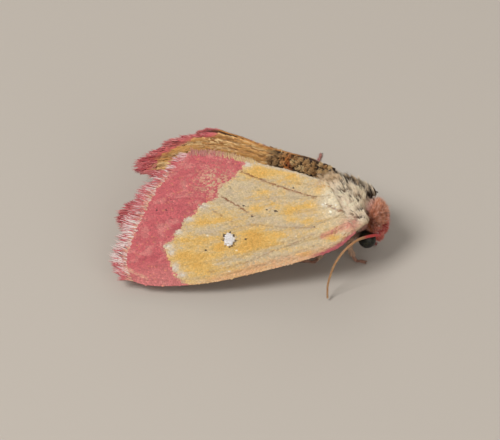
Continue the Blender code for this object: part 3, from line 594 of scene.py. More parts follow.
def paint_forewing(u, v, under):
    """The colour of every place on a forewing, on its upper face or the one under it."""
    p, q = outline_point(u, v).T + np.array(MARKS_MOVED)[:, None]
    random = np.random.default_rng(17 + len(u))
    n = len(u)
    grain = noise(p * 14, q * 20, 1)
    streak = noise(p * 2.2, q * 9, 2)
    if under:
        base = mix(rgb(214, 176, 122), rgb(196, 140, 96), streak)
        edge = np.interp(q, *np.array(PINK_EDGE).T) + 0.3 * (streak - 0.5)
        pinked = soft(p - edge, -0.3, 0.5)
        return mix(base, mix(PINK_LIGHT, PINK, streak), pinked)
    yellow = sum(s * blob(p, q, (a, b), (ha, hb), 0.18) for a, b, ha, hb, s in YELLOW_AT)
    grey = sum(blob(p, q, (a, b), (ha, hb), 0.3) for a, b, ha, hb in GREY_AT)
    yellow = yellow * 1.05 - 0.5 * grey + 0.55 * (streak - 0.5) + 0.6 * (grain - 0.5) + 0.28
    yellow = yellow + 0.3 * soft(p, 4.0, 7.0) * soft(-q, -3.0, -0.5)
    base = mix(GREY_SCALE, LILAC_SCALE, 0.9 * noise(p * 3, q * 7, 7) + 0.5 * (random.random(n) - 0.5))
    base = mix(base, YELLOW, soft(yellow, -0.1, 1.1))
    base = mix(base, OCHRE, 0.8 * soft(yellow, 0.8, 1.7))
    # the costa is peach, and crimson at its root
    costal = soft(-q - 0.12 * (p > 6) * (p - 6), 0.25, 0.75)
    base = mix(base, PEACH, 0.85 * costal * (0.6 + 0.8 * (grain - 0.3)))
    crimson, _ = line_distance(p, q, CRIMSON_LINE)
    base = mix(base, CRIMSON, soft(-crimson + 0.1 * streak, -0.22, -0.02) * soft(-p, -3.4, -2.2))
    second, _ = line_distance(p, q, PINK_LINE)
    base = mix(base, mix(PINK, PEACH, grain), 0.8 * soft(-second, -0.22, -0.05))
    base = mix(base, rgb(226, 150, 136), 0.75 * blob(p, q, (0.6, 0.3), (0.45, 0.4)) * (0.5 + 0.8 * grain))
    # pale scales by the shoulder, with painted glints on a few of them
    base = mix(base, rgb(236, 222, 192), 0.85 * blob(p, q, (1.25, 1.7), (0.6, 1.1)) * (0.4 + grain))
    painted_shine = (blob(p, q, (1.5, 1.5), (0.5, 0.6)) > 0.4) * (random.random(n) > 0.95)
    base = mix(base, rgb(255, 250, 236), 0.7 * painted_shine)
    # the pink outer band, its inner edge in teeth
    across, along_edge = np.array(PINK_EDGE).T
    edge = np.interp(q, across, along_edge) + 0.16 * (noise(p * 5, q * 11, 4) - 0.5)
    edge = edge + random.normal(0, 0.035, n)
    band = soft(p - edge, -0.05, 0.07)
    cloud = noise(p * 2.5, q * 4, 8) + 0.5 * (grain - 0.5)
    mottled = mix(PINK, PINK_LIGHT, 0.55 * soft(cloud, 0.45, 0.95))
    mottled = mix(mottled, PINK_DEEP, 0.4 * soft(noise(p * 1.7, q * 3.1, 9), 0.55, 0.95))
    mottled = mix(mottled, PINK_LIGHT, 0.4 * soft(-q, -1.0, 0.2))
    ray, _ = line_distance(p, q, APEX_LINE)
    mottled = mix(mottled, CREAM_LINE, 0.5 * soft(-ray, -0.14, -0.04) * grain)
    mottled = mottled * (1 + random.normal(0, 0.07, n))[:, None]
    mottled = mix(mottled, GOLD_FLECK, 0.5 * (noise(p * 6, q * 13, 10) > 0.9) + 0.5 * (random.random(n) > 0.99))
    worn = blob(p, q, RUBBED_AT, RUBBED_HALF) * soft(grain + random.normal(0, 0.1, n), 0.45, 0.65)
    mottled = mix(mottled, GREY_SCALE, 0.75 * worn)
    for a, b, ha, hb in PALE_TEETH:
        base = mix(base, PALE_TOOTH, 1.2 * blob(p, q, (a, b), (ha, hb), 0.2))
    base = mix(base, mottled, band)
    faint = soft(v, 0.965, 0.995) * (1 - band)
    base = mix(base, rgb(200, 186, 168), 0.7 * faint)
    for line, strength, half in VEIN_LINES:
        gap, _ = line_distance(p, q, line)
        broken = np.clip(0.8 + 0.5 * (noise(p * 5, q * 5, 12) - 0.3), 0, 1)
        base = mix(base, VEIN_BROWN, strength * broken * np.exp(-((gap / half) ** 2)) * (1 - 0.8 * band))
    for a, b, ha, hb in DARK_SPOTS:
        base = mix(base, DARK_DOT, 0.95 * soft(blob(p, q, (a, b), (ha, hb), 0.5), 0.25, 0.6))
    # the white spot in its ring of dark dots
    a, b = (p - SPOT_AT[0]) / SPOT_HALF[0], (q - SPOT_AT[1]) / SPOT_HALF[1]
    away, turn = np.hypot(a, b), np.arctan2(b, a)
    dots = soft(-np.abs(away - 1.12), -0.24, -0.1) * soft(np.sin(turn * 9 + 1.0) + 0.35, -0.1, 0.5)
    base = mix(base, DARK_DOT, 0.9 * dots)
    base = mix(base, WHITE_SPOT, soft(-away, -1.02, -0.86))
    # a cream line along the root of the fringe
    rim_line = soft(u, 0.975, 0.988) * soft(noise(v * 9, u, 14), 0.25, 0.6)
    base = mix(base, CREAM_LINE, 0.85 * rim_line * soft(-v, -0.78, -0.62))
    # painted glints: a few scales outside the pink band made near white
    painted_sparkle = (random.random(n) > 0.9988) & (band < 0.5)
    base = mix(base, rgb(250, 240, 215), 0.6 * painted_sparkle)
    return base


def paint_left_forewing(u, v, under):
    """The left forewing, whose inner margin shows golden, with painted shade in dark brown at its root."""
    u = LEFT_TRIM + (1 - LEFT_TRIM) * u
    base = paint_forewing(u, v, under)
    margin = soft(v, 0.9, 0.95)
    # painted shade: the margin turns dark brown towards the root, and the whole root is dark below
    gold = mix(rgb(196, 132, 66), rgb(84, 52, 32), soft(-u, -0.42, -0.3))
    base = mix(base, gold * (0.85 + 0.3 * noise(u * 60, v * 9, 26))[:, None], margin)
    return mix(base, rgb(70, 50, 38), soft(-u, -0.14, -0.08))


def paint_fold(u, v, under):
    """The folded hindwing, with painted shade in dark brown beneath the tufts at its root."""
    border = 0.935 - 0.085 * soft(v, 0.4, 0.66)
    # painted shade beneath the tufts at the root
    root = soft(-u + 0.08 * (noise(u * 20, v * 30, 27) - 0.5), -0.37, -0.29)
    return mix(paint_hindwing(u, v, under, border), rgb(62, 42, 28), root)


def paint_hindwing(u, v, under, border=0.9):
    """Golden on both faces, streaked along the veins, with a red border."""
    n = len(u)
    random = np.random.default_rng(23 + len(u))
    streak = noise(u * 5, v * 34, 20)
    base = mix(GOLD_HAIR, GOLD_LIGHT, soft(streak, 0.35, 0.9))
    base = mix(base, GOLD_DARK, 0.75 * soft(noise(u * 3, v * 22, 21), 0.55, 0.95))
    edge = border + 0.035 * (noise(u * 3, v * 14, 22) - 0.5) + random.normal(0, 0.006, n)
    base = mix(base, BORDER_RED, 0.9 * soft(u, edge - 0.02, edge + 0.03))
    base = mix(base, VEIN_BROWN, 0.3 * ridge(v, HIND_VEINS))
    return base


# (share of the hairs, share of the length, half width, lift), shortest first
FRINGE_LAYERS = ((0.6, 0.35, 0.06, 0.02), (0.8, 0.6, 0.045, 0.015), (1.0, 0.82, 0.036, 0.01), (1.0, 1.0, 0.026, 0.0))
FRINGE_ROOT = 0.968  # share of the wing's length


def fringe(name, surface, span, count, length, tints, seed, taper=0.35, lead=0.0):
    """Hair-scales in layers along an outer margin. tints is (base, tip, short).

    The fringe is shorter over its last quarter by taper, and over its first part, lead.
    """
    random = np.random.default_rng(seed)
    parts = []
    for layer, (part, share, half, lift) in enumerate(FRINGE_LAYERS):
        n = int(count * part)
        place = (np.arange(n) + random.random(n)) / n
        v = span[0] + (span[1] - span[0]) * place
        u = FRINGE_ROOT + 0.006 * layer + random.normal(0, 0.003, n)
        point, along, across, out = frame_at(surface, np.clip(u, 0, 0.999), v)
        clump = noise(v * 52, v * 0, seed) - 0.5
        aside = random.normal(0, 0.1, n) + 0.7 * clump
        way = unit(along + across * aside[:, None] + out * random.normal(0.03, 0.07, n)[:, None])
        size = length * (share + 0.25) * (1 + random.normal(0, 0.08, n)) * (1 + 0.35 * clump)
        size = size * (1 - taper * soft(place, 0.75, 1.0))
        if lead:
            size = size * (0.3 + 0.7 * soft(place, 0.0, lead))
        light = soft(noise(v * 150, v * 0 + 5, seed) + random.normal(0, 0.14, n), 0.42, 0.6)
        light = light * (0.62 + 0.3 * soft(noise(v * 9, v * 0 + 9, seed), 0.25, 0.5))
        behind = soft(v, 0.8, 0.95)
        root_tint = mix(tints[2], tints[0], behind) if layer < 2 else tints[0]
        base = root_tint * (0.85 + 0.3 * random.random(n))[:, None]
        base = mix(base, tints[1], 0.7 * light * (1 - behind))
        tip = mix(tints[0], tints[1], light * (1 if layer else 0.4))
        uv = np.stack([0.05 + 0.22 * layer + 0.1 * random.random(n), 0.01 + 0.98 * v], 1)
        root = point + out * lift
        bend = random.normal(0.02, 0.04, n)
        parts.append(strands(root, way, out, size, half, 0.012, bend, (base, np.clip(tip, 0, 1)), uv))
    made = gather(parts)
    return piece(name, made, FRINGE_HAIR)


def margin_hair(surface):
    """Short tan and pink hair-scales along the inner margin of the near forewing."""
    random = np.random.default_rng(57)
    n = 420
    u, v = 0.5 + 0.47 * random.random(n), 0.97 + 0.02 * random.random(n)
    point, along, across, out = frame_at(surface, u, v)
    aside = 0.7 + random.normal(0, 0.2, n)
    way = unit(across + along * aside[:, None] + out * random.normal(0.15, 0.1, n)[:, None])
    tip = mix(GOLD_LIGHT, PINK_LIGHT, soft(u + random.normal(0, 0.08, n), 0.62, 0.85))
    uv = np.stack([0.02 + 0.96 * u, 0.98 - 0.1 * random.random(n)], 1)
    length = 0.26 * (1 + random.normal(0, 0.2, n))
    bend = random.normal(0, 0.02, n)
    made = strands(point + out * 0.03, way, out, length, 0.024, 0.01, bend, (tip * 0.72, tip), uv)
    piece("margin_fringe_right", made, FRINGE_HAIR)


def dress_wings():
    """Every wing's sheet, scales on both faces and fringe."""
    right = forewing_surface(RIGHT_FOREWING, 0.0, 0.1)
    left = forewing_surface(LEFT_FOREWING, LEFT_CUP, 0.2, LEFT_BULGE, 0.0, LEFT_BULGE_AT, LEFT_TRIM)
    # (word, sheet, colours, distances between the scales, fringe's hairs, its length, its tints)
    for word, surface, paint, step, hairs, length, tints in (
        ("right", right, paint_forewing, (0.08, 0.092), 420, 0.62, (FRINGE_BASE, FRINGE_TIP, CREAM_LINE)),
        ("left", left, paint_left_forewing, (0.105, 0.115), 300, 0.22, (FAR_FRINGE, FRINGE_ROSE, FAR_FRINGE)),
    ):
        membrane("wing_" + word, surface, paint, ("forewing_" + word,))
        random = np.random.default_rng(31)
        scale_coat("scales_" + word, surface, paint, False, (0.17, 0.1), step, random, 0.985)
        scale_coat("underscales_" + word, surface, paint, True, (0.26, 0.16), (0.145, 0.15), random, 0.975)
        if word == "right":
            margin_hair(surface)
        fringe("fringe_" + word, surface, (0.0, 0.985), hairs, length, tints, 37)
    tints = (BORDER_RED, FRINGE_ROSE, BORDER_RED)
    fold = hindwing_surface(LEFT_FOLD, 0.0)
    for word, surface, paint, replaced, lead in (
        ("right", hindwing_surface(RIGHT_HINDWING, 0.0), paint_hindwing, ("hindwing_right",), 0.4),
        ("left", hindwing_surface(LEFT_HINDWING, 0.0), paint_hindwing, ("hindwing_left",), 0.0),
        ("fold", fold, paint_fold, (), 0.0),
    ):
        membrane("hindwing_sheet_" + word, surface, paint, replaced)
        random = np.random.default_rng(43)
        scale_coat("hindscales_" + word, surface, paint, False, (0.34, 0.09), (0.12, 0.085), random, 0.96)
        scale_coat("hindunder_" + word, surface, paint, True, (0.36, 0.17), (0.19, 0.16), random, 0.96)
        fringe("hindfringe_" + word, surface, (0.02, 0.99), 220, 0.5, tints, 47, taper=0.2, lead=lead)
    root_tufts(fold)


def root_tufts(surface):
    """Round brushes of brown and tan hair-scales beside the base of the abdomen, with painted shade at the rim of
    each.
    """
    random = np.random.default_rng(53)
    columns, rows, hairs = 11, 4, 75
    at = np.array([((i + 0.5 * (j % 2) + random.uniform(-0.25, 0.25)) / columns * 0.36,
                    0.28 + 0.7 * (j + 0.5 + random.uniform(-0.2, 0.2)) / rows)
                   for i in range(columns) for j in range(rows)])
    u0, v0 = np.repeat(np.clip(at, 0.002, 0.94), hairs, axis=0).T
    n = len(u0)
    du, dv = random.normal(0, 1, n), random.normal(0, 1, n)
    u, v = np.clip(u0 + 0.004 * du, 0, 1), np.clip(v0 + 0.025 * dv, 0.01, 0.98)
    point, along, across, out = frame_at(surface, u, v)
    splay = along * (0.26 * du)[:, None] + across * (0.26 * dv)[:, None]
    crest = soft(v0, 0.6, 0.95)
    way = out + along * 0.25 + across * (0.2 + 0.1 * crest)[:, None] + splay
    way = unit(way + random.normal(0, 0.1, (n, 3)))
    edge = soft(np.hypot(du, dv), 1.3, 2.0)
    length = 0.27 * (1 + random.normal(0, 0.14, n)) * (1 - 0.1 * crest) * (1 - 0.5 * edge)
    own = np.repeat(random.random(len(at)), hairs)
    tip = mix(rgb(246, 214, 160), rgb(196, 148, 94), own) * (1 + random.normal(0, 0.16, n))[:, None]
    for colour, share in (
        (rgb(236, 158, 82), 0.95 * blob(u0, v0, (0.262, 0.4), (0.02, 0.9))),
        (rgb(190, 96, 44), 0.95 * blob(u0, v0, (0.245, 0.3), (0.01, 0.6))),
        (rgb(170, 132, 88), 0.7 * soft(u0 + 0.02 * du, 0.28, 0.33)),
        # painted shade: the hair-scales at the rim of each tuft are dark, as the shade between the tufts
        (rgb(70, 46, 30), 0.9 * edge),
    ):
        tip = mix(tip, colour, share)
    uv = np.stack([0.02 + 0.9 * u0, 0.02 + 0.96 * v0], 1)
    made = strands(point, way, out, length, 0.024, 0.014, random.normal(0, 0.03, n),
                   (rgb(66, 42, 24), np.clip(tip, 0, 1)), uv, widths=(0.6, 1.0, 1.0, 0.3))
    piece("root_tufts", made, COAT)


# Body

BODY = (  # (x, y, z, half width, half height) from the tip of the abdomen to the face
    (-8.0, 0.06, 1.73, 0.05, 0.05), (-7.8, 0.06, 1.74, 0.24, 0.26), (-7.2, 0.04, 1.78, 0.38, 0.4),
    (-6.5, 0.02, 1.82, 0.5, 0.52), (-5.8, -0.02, 1.86, 0.59, 0.61), (-5.1, -0.04, 1.9, 0.65, 0.67),
    (-4.4, -0.02, 2.0, 0.66, 0.68), (-3.75, 0, 2.12, 0.62, 0.64), (-3.3, 0, 2.25, 0.52, 0.56),
    (-3.0, 0, 2.42, 0.62, 0.7), (-2.7, 0, 2.54, 0.78, 0.86), (-2.1, 0, 2.62, 0.88, 1.0),
    (-1.5, 0, 2.66, 0.88, 1.0), (-1.15, 0, 2.68, 0.8, 0.88), (-0.85, 0, 2.68, 0.76, 0.8),
    (-0.6, 0, 2.64, 0.7, 0.74), (-0.4, 0, 2.54, 0.58, 0.62), (-0.2, 0, 2.44, 0.6, 0.62),
    (-0.05, 0, 2.4, 0.64, 0.66), (0.1, 0, 2.34, 0.64, 0.68), (0.24, 0, 2.28, 0.56, 0.62),
    (0.35, 0, 2.2, 0.42, 0.48), (0.43, 0, 2.16, 0.05, 0.05),
)
BODY_STATIONS, BODY_SIDES = 150, 48
FIRST_RING, SEGMENT = -3.4, 0.62  # where the abdomen's first ring starts, and the length of one


def body_ring(x):
    """Centre and half sizes of the body at each x."""
    table = np.array(BODY)
    return [np.interp(x, table[:, 0], table[:, k]) for k in range(1, 5)]


def rings_from(x):
    """How many rings of the abdomen lie between its start and each x."""
    return (x - FIRST_RING) / SEGMENT


def body_at(x, angle):
    """A place on the skin, and the way that it faces. Angle 0 is the moth's left, a quarter turn is up."""
    y, z, wide, high = body_ring(x)
    segments = np.where(x < FIRST_RING, 0.05 * np.cos(rings_from(x) * 2 * np.pi), 0.0)
    wide, high = wide * (1 - segments), high * (1 - segments)
    point = np.stack([x, y + wide * np.cos(angle), z + high * np.sin(angle)], -1)
    step = 0.03
    _, _, wide2, high2 = body_ring(x + step)
    slope = ((wide2 - wide) + (high2 - high)) / 2 / step
    out = np.stack([-np.clip(slope, -3, 3), np.cos(angle) * high / wide, np.sin(angle)], -1)
    return point, unit(out)


def skin():
    """One surface for head, neck, thorax and abdomen."""
    table = np.array(BODY)
    share = np.linspace(0, 1, BODY_STATIONS)
    x = spline(table[:, :1], share)[:, 0]
    x = np.interp(share, np.linspace(0, 1, len(table)), table[:, 0]) * 0.5 + x * 0.5
    x[0], x[-1] = table[0, 0], table[-1, 0]
    xs, angles = grid(x, turns(BODY_SIDES))
    point, out = body_at(xs, angles)
    point += out * (0.03 * (noise(xs * 6, angles * 4, 40) - 0.5))[:, None]
    for side in (-1, 1):  # sockets for the eyes
        away = point - EYE_CENTRE * (1, side, 1)
        gap = np.linalg.norm(away, axis=1)
        inside = gap < SOCKET
        point[inside] = (EYE_CENTRE * (1, side, 1)) + away[inside] / gap[inside, None] * SOCKET
    a, b = around(BODY_STATIONS, BODY_SIDES)
    c, d = a + BODY_SIDES, b + BODY_SIDES
    first, last = len(point), len(point) + 1
    point = np.concatenate([point, [np.array(BODY[0][:3]), np.array(BODY[-1][:3])]])
    k = np.arange(BODY_SIDES)
    nxt = (k + 1) % BODY_SIDES
    start = (BODY_STATIONS - 1) * BODY_SIDES
    faces = np.concatenate([np.stack(corners, 1) for corners in (
        (a, c, d), (a, d, b), (nxt, k * 0 + first, k), (start + k, k * 0 + last, start + nxt))])
    tint = np.concatenate([skin_colour(xs), [rgb(90, 60, 40), rgb(150, 50, 45)]])
    uv = np.concatenate([body_uv(xs, angles), [(0.01, 0.5), (0.99, 0.5)]])
    nodes = ("head", "collar", "thorax", "abdomen")
    piece("body_skin", (point, faces, tint, uv), SKIN, nodes, turn=True)


def outward(thing):
    """Turns a closed mesh's faces outward."""
    bm = bmesh.new()
    bm.from_mesh(thing.data)
    bmesh.ops.recalc_face_normals(bm, faces=bm.faces)
    bm.to_mesh(thing.data)
    bm.free()


def body_uv(x, angle):
    """The body's skin unrolled."""
    tail, face = BODY[0][0], BODY[-1][0]
    return np.stack([0.02 + 0.96 * (x - tail) / (face - tail), 0.02 + 0.96 * (angle % (2 * np.pi)) / (2 * np.pi)], -1)


def skin_colour(x):
    """Brown beneath the coat, darker in the joints of the abdomen, and red on the face."""
    joint = soft(np.cos(rings_from(x) * 2 * np.pi), 0.2, 0.9) * (x < FIRST_RING + 0.1)
    base = mix(rgb(96, 70, 50), rgb(52, 36, 28), joint)
    base = mix(base, rgb(60, 42, 32), soft(x, -3.2, -2.6) * soft(-x, 0.5, 0.8))
    return mix(base, rgb(150, 48, 44), soft(x, -0.5, -0.2))


def body_coat(name, count, low, high, arc, dress, seed, tufts, half=0.026, thick=0.012, pull=0.45):
    """Hair-scales over a stretch of the body. dress gives their way, length, bend, root and tip colours."""
    random = np.random.default_rng(seed)
    x = low + (high - low) * random.random(count)
    angle = math.radians(arc[0]) + math.radians(arc[1] - arc[0]) * random.random(count)
    point, out = body_at(x, angle)
    lead, tuft = tufts_of(point, tufts, random)
    way, length, bend, base, tip = dress(x, angle, out, random, tuft)
    shade = (1 + random.normal(0, 0.07, count))[lead][:, None]
    base, tip = base * shade, tip * shade
    length = length * (1 + random.normal(0, 0.1, count))
    way, length = drawn_together(point, way, length, lead, pull)
    keep = np.ones(count, bool)
    for side in (-1, 1):  # the eyes stay bare
        centre = EYE_CENTRE * (1, side, 1)
        middle = point + way * (length * 0.5)[:, None]
        keep &= np.linalg.norm(middle - centre, axis=1) > SOCKET
        keep &= np.linalg.norm(point - centre, axis=1) > SOCKET + 0.01
    size = half * (1 + random.normal(0, 0.2, count))
    root, sway = point - out * 0.05, random.normal(0, 0.06, count)
    made = strands(root[keep], way[keep], out[keep], length[keep], size[keep], thick, bend[keep],
                   (np.clip(base, 0, 1)[keep], np.clip(tip, 0, 1)[keep]), body_uv(x, angle)[keep], sway=sway[keep])
    piece(name, made, COAT)


def lean(angle, out, back, toward_top, lift, random, spread):
    """The way a hair-scale lies: back along the body, up towards its crest, and away from the skin."""
    n = len(angle)
    top = np.stack([np.zeros(n), -np.sin(angle), np.cos(angle)], -1) * np.sign(np.cos(angle))[:, None]
    along = np.stack([-np.ones(n) * back, np.zeros(n), np.zeros(n)], -1)
    way = along + top * toward_top[:, None] + out * lift[:, None]
    return unit(way + random.normal(0, spread, (n, 3)))


CREAM = rgb(255, 238, 212)
CREAM_ROOT = rgb(220, 192, 156)
TUFT_GAP_SHADE = rgb(122, 92, 64)  # painted shade: of the hair-scales between the tufts
TAN = rgb(190, 158, 116)
TAN_ROOT = rgb(110, 82, 54)
DARK_BROWN = rgb(64, 44, 33)
SALMON = rgb(242, 176, 140)
SCARLET = rgb(206, 66, 62)
ROSE_GREY = rgb(226, 172, 158)
RUST = rgb(208, 128, 86)


def cream_hair(tuft, random):
    """Tip and root colours, pale on the tufts and painted brown between them as the shade there."""
    n = len(tuft)
    light = soft(tuft + random.normal(0, 0.06, n), 0.04, 0.24)
    tip = mix(TUFT_GAP_SHADE, CREAM, light)
    return tip, mix(TUFT_GAP_SHADE * 0.6, CREAM_ROOT, light)


def shaded_below(x, angle, tip, base):
    """Painted shade: the sides and breast near the eyes are darkened to rust brown."""
    low = soft(-np.sin(angle), -0.05, 0.25) * soft(x, -1.6, -1.1)
    return mix(tip, rgb(126, 74, 58), 0.85 * low), mix(base, rgb(72, 40, 32), low)


def dress_thorax(x, angle, out, random, tuft):
    """Upright tufts that curl back at their tips, longer behind, where they stand up."""
    n = len(x)
    top = np.sin(angle)
    crest = soft(top, 0.5, 0.9)
    rear = soft(-x, 1.5, 1.95) * crest
    above = soft(top, -0.3, 0.3)
    length = (0.5 + 0.34 * above) * (0.85 + 0.3 * random.random(n)) + 0.3 * rear
    lift = 0.6 + 0.8 * above + 0.3 * rear
    way = lean(angle, out, 0.75, 0.35 - 0.2 * crest, lift, random, 0.12)
    tip, base = cream_hair(tuft, random)
    behind = soft(-x, 1.5, 2.0)
    tip = mix(tip, rgb(222, 190, 148) * (0.75 + 0.4 * random.random(n))[:, None], 0.8 * behind)
    base = mix(base, TAN_ROOT, behind)
    # painted shade, rust brown, on the sides and breast near the eyes
    tip, base = shaded_below(x, angle, tip, base)
    # painted shade: a dark brown band on the far side of the crest
    dark = far_side_shade(x, angle) * (random.random(n) < 0.92)
    tip = mix(tip, DARK_BROWN, dark)
    base = mix(base, DARK_BROWN * 0.6, dark)
    return way, length, -0.2 * length, base, tip


def far_side_shade(x, angle):
    """Painted shade: a dark line left of the crest of the thorax, on its far side."""
    y = np.cos(angle)
    start = 0.34 + 0.12 * soft(x, -0.7, -0.2)
    return soft(y - start, 0, 0.12) * soft(-y, -0.99, -0.94) * soft(x, -1.85, -1.5) * (np.sin(angle) > 0)


def dress_collar(x, angle, out, random, tuft):
    """Upright tufts with two brown spots, rosy in front, longer below, where they hide the wing's root."""
    n = len(x)
    above = soft(np.sin(angle), -0.3, 0.3)
    front = soft(x, -0.3, 0.04)
    far_shade = far_side_shade(x, angle) * soft(-x, 0.02, 0.15)
    lift = 0.9 + 0.5 * above
    way = lean(angle, out, 0.6 - 0.2 * front, 0.65 * above - 0.4, lift, random, 0.12)
    tip, base = cream_hair(tuft, random)
    spots = sum(blob(x, angle, (at, math.radians(turn)), (0.1, 0.09)) for at, turn in ((-0.42, 138), (-0.22, 158)))
    # the two brown spots, with painted shade on the far side
    dark = np.maximum(far_shade, soft(spots, 0.3, 0.6)) * (random.random(n) < 0.9)
    rosy = soft(x + 0.12 * random.random(n), -0.14, 0.04)
    tip = mix(tip, ROSE_GREY * (0.8 + 0.3 * random.random(n))[:, None], 0.85 * rosy)
    base = mix(base, rgb(156, 84, 62), rosy)
    # painted shade, rust brown, on the sides and breast near the eyes
    tip, base = shaded_below(x, angle, tip, base)
    tip = mix(tip, DARK_BROWN, dark)
    base = mix(base, DARK_BROWN * 0.6, dark)
    length = (0.46 + 0.3 * above) * (0.85 + 0.3 * random.random(n)) * (1 - 0.3 * front) * (1 - 0.3 * far_shade)
    length = length + 0.3 * soft(-np.sin(angle), -0.1, 0.3) * (1 - front)
    return way, length, -0.18 * length, base, tip


def dress_head(x, angle, out, random, tuft):
    """Upright tufts, salmon above and scarlet in front and below."""
    n = len(x)
    ahead = soft(x, 0.05, 0.38)
    upper = soft(np.sin(angle), -0.1, 0.6)
    way = unit(0.9 * out + np.array((0.1, 0, 0)) + np.array((0, 0, 1.0)) * (0.7 * upper - 0.25 * ahead)[:, None]
               + random.normal(0, 0.3, (n, 3)))
    low = soft(-np.sin(angle) + 0.45 * ahead, -0.3, 0.5)
    shade = (0.72 + 0.32 * soft(tuft, 0.0, 0.5) + random.normal(0, 0.14, n))[:, None]
    tip = mix(SALMON, SCARLET, np.clip(low + 0.3 * random.random(n) - 0.15, 0, 1)) * shade
    near_collar = soft(-x, -0.26, -0.1) * soft(-np.sin(angle), -0.95, -0.6)
    tip = mix(tip, RUST * shade, 0.85 * near_collar)
    tip = mix(tip, rgb(255, 222, 208), 0.85 * (random.random(n) > 0.76))
    base = mix(rgb(186, 114, 80), rgb(166, 46, 44), low)
    aside = soft(np.cos(angle), 0.3, 0.8)
    above = 0.22 * soft(np.sin(angle), 0.1, 0.8) * (1 - 0.75 * ahead)
    length = 0.2 + 0.16 * random.random(n) + above + 0.1 * aside
    return way, length, np.full(n, 0.02), base, tip


def dress_abdomen(x, angle, out, random, tuft):
    """Tan hair-scales in rings, upright along the crest of the first rings, with a rust tuft."""
    n = len(x)
    phase = rings_from(x) % 1.0
    top = np.sin(angle)
    crest = soft(top, 0.55, 0.9) * soft(x, -6.6, -5.6)
    tail = soft(-x, 7.0, 7.7)
    length = 0.42 + 0.35 * tail + 0.85 * crest * soft(x, -6.4, -4.6)
    lift = 0.22 + 1.5 * crest + 0.15 * random.random(n)
    way = lean(angle, out, 1.0 - 0.35 * crest, 0.1 * np.ones(n), lift, random, 0.1)
    way = unit(way + np.array((0, 0.35, 0)) * crest[:, None])
    dark = soft(np.abs(phase - 0.5), 0.28, 0.46)
    # painted shade: darker away from each tuft's middle, between the tufts
    tan = TAN * (0.6 + 0.6 * soft(tuft, 0.0, 0.6))[:, None]
    tip = mix(tan, DARK_BROWN, 0.85 * dark)
    base = mix(TAN_ROOT, DARK_BROWN * 0.7, 0.6 + 0.4 * dark)
    belly = soft(-top, 0.1, 0.6)
    tip = mix(tip, rgb(214, 186, 158), belly)
    rust = blob(x, angle, (-4.9, math.radians(80)), (0.22, 0.35))
    tip = mix(tip, rgb(204, 116, 56), 0.9 * rust)
    tip = mix(tip, GOLD_LIGHT, 0.6 * tail)
    return way, length, -0.05 - 0.1 * crest, base, tip


# Where the tegula lies on a wing root, as (along, across) of the forewing.
RIGHT_TEGULA = ((0.0, -0.05), (0.35, 0.65), (0.75, 1.6), (1.1, 2.6))
LEFT_TEGULA = ((0.45, 0.45), (0.65, 1.0), (0.8, 1.5), (0.9, 2.0))
TEGULA_EDGE = -0.5  # its edge on the thorax, across from the middle of the path
TEGULA_RISE = 0.06
# Its markings, and the painted shadow of the gap between it and the thorax, as (share of the path, aside from it).
TEGULA_GAP_SHADE = ((0.48, -0.3), (0.92, -0.34))
TEGULA_SPOTS = ((0.3, -0.3), (0.14, -0.12))
TEGULA_VEIN = ((0.33, 0.42), (0.53, 0.88))


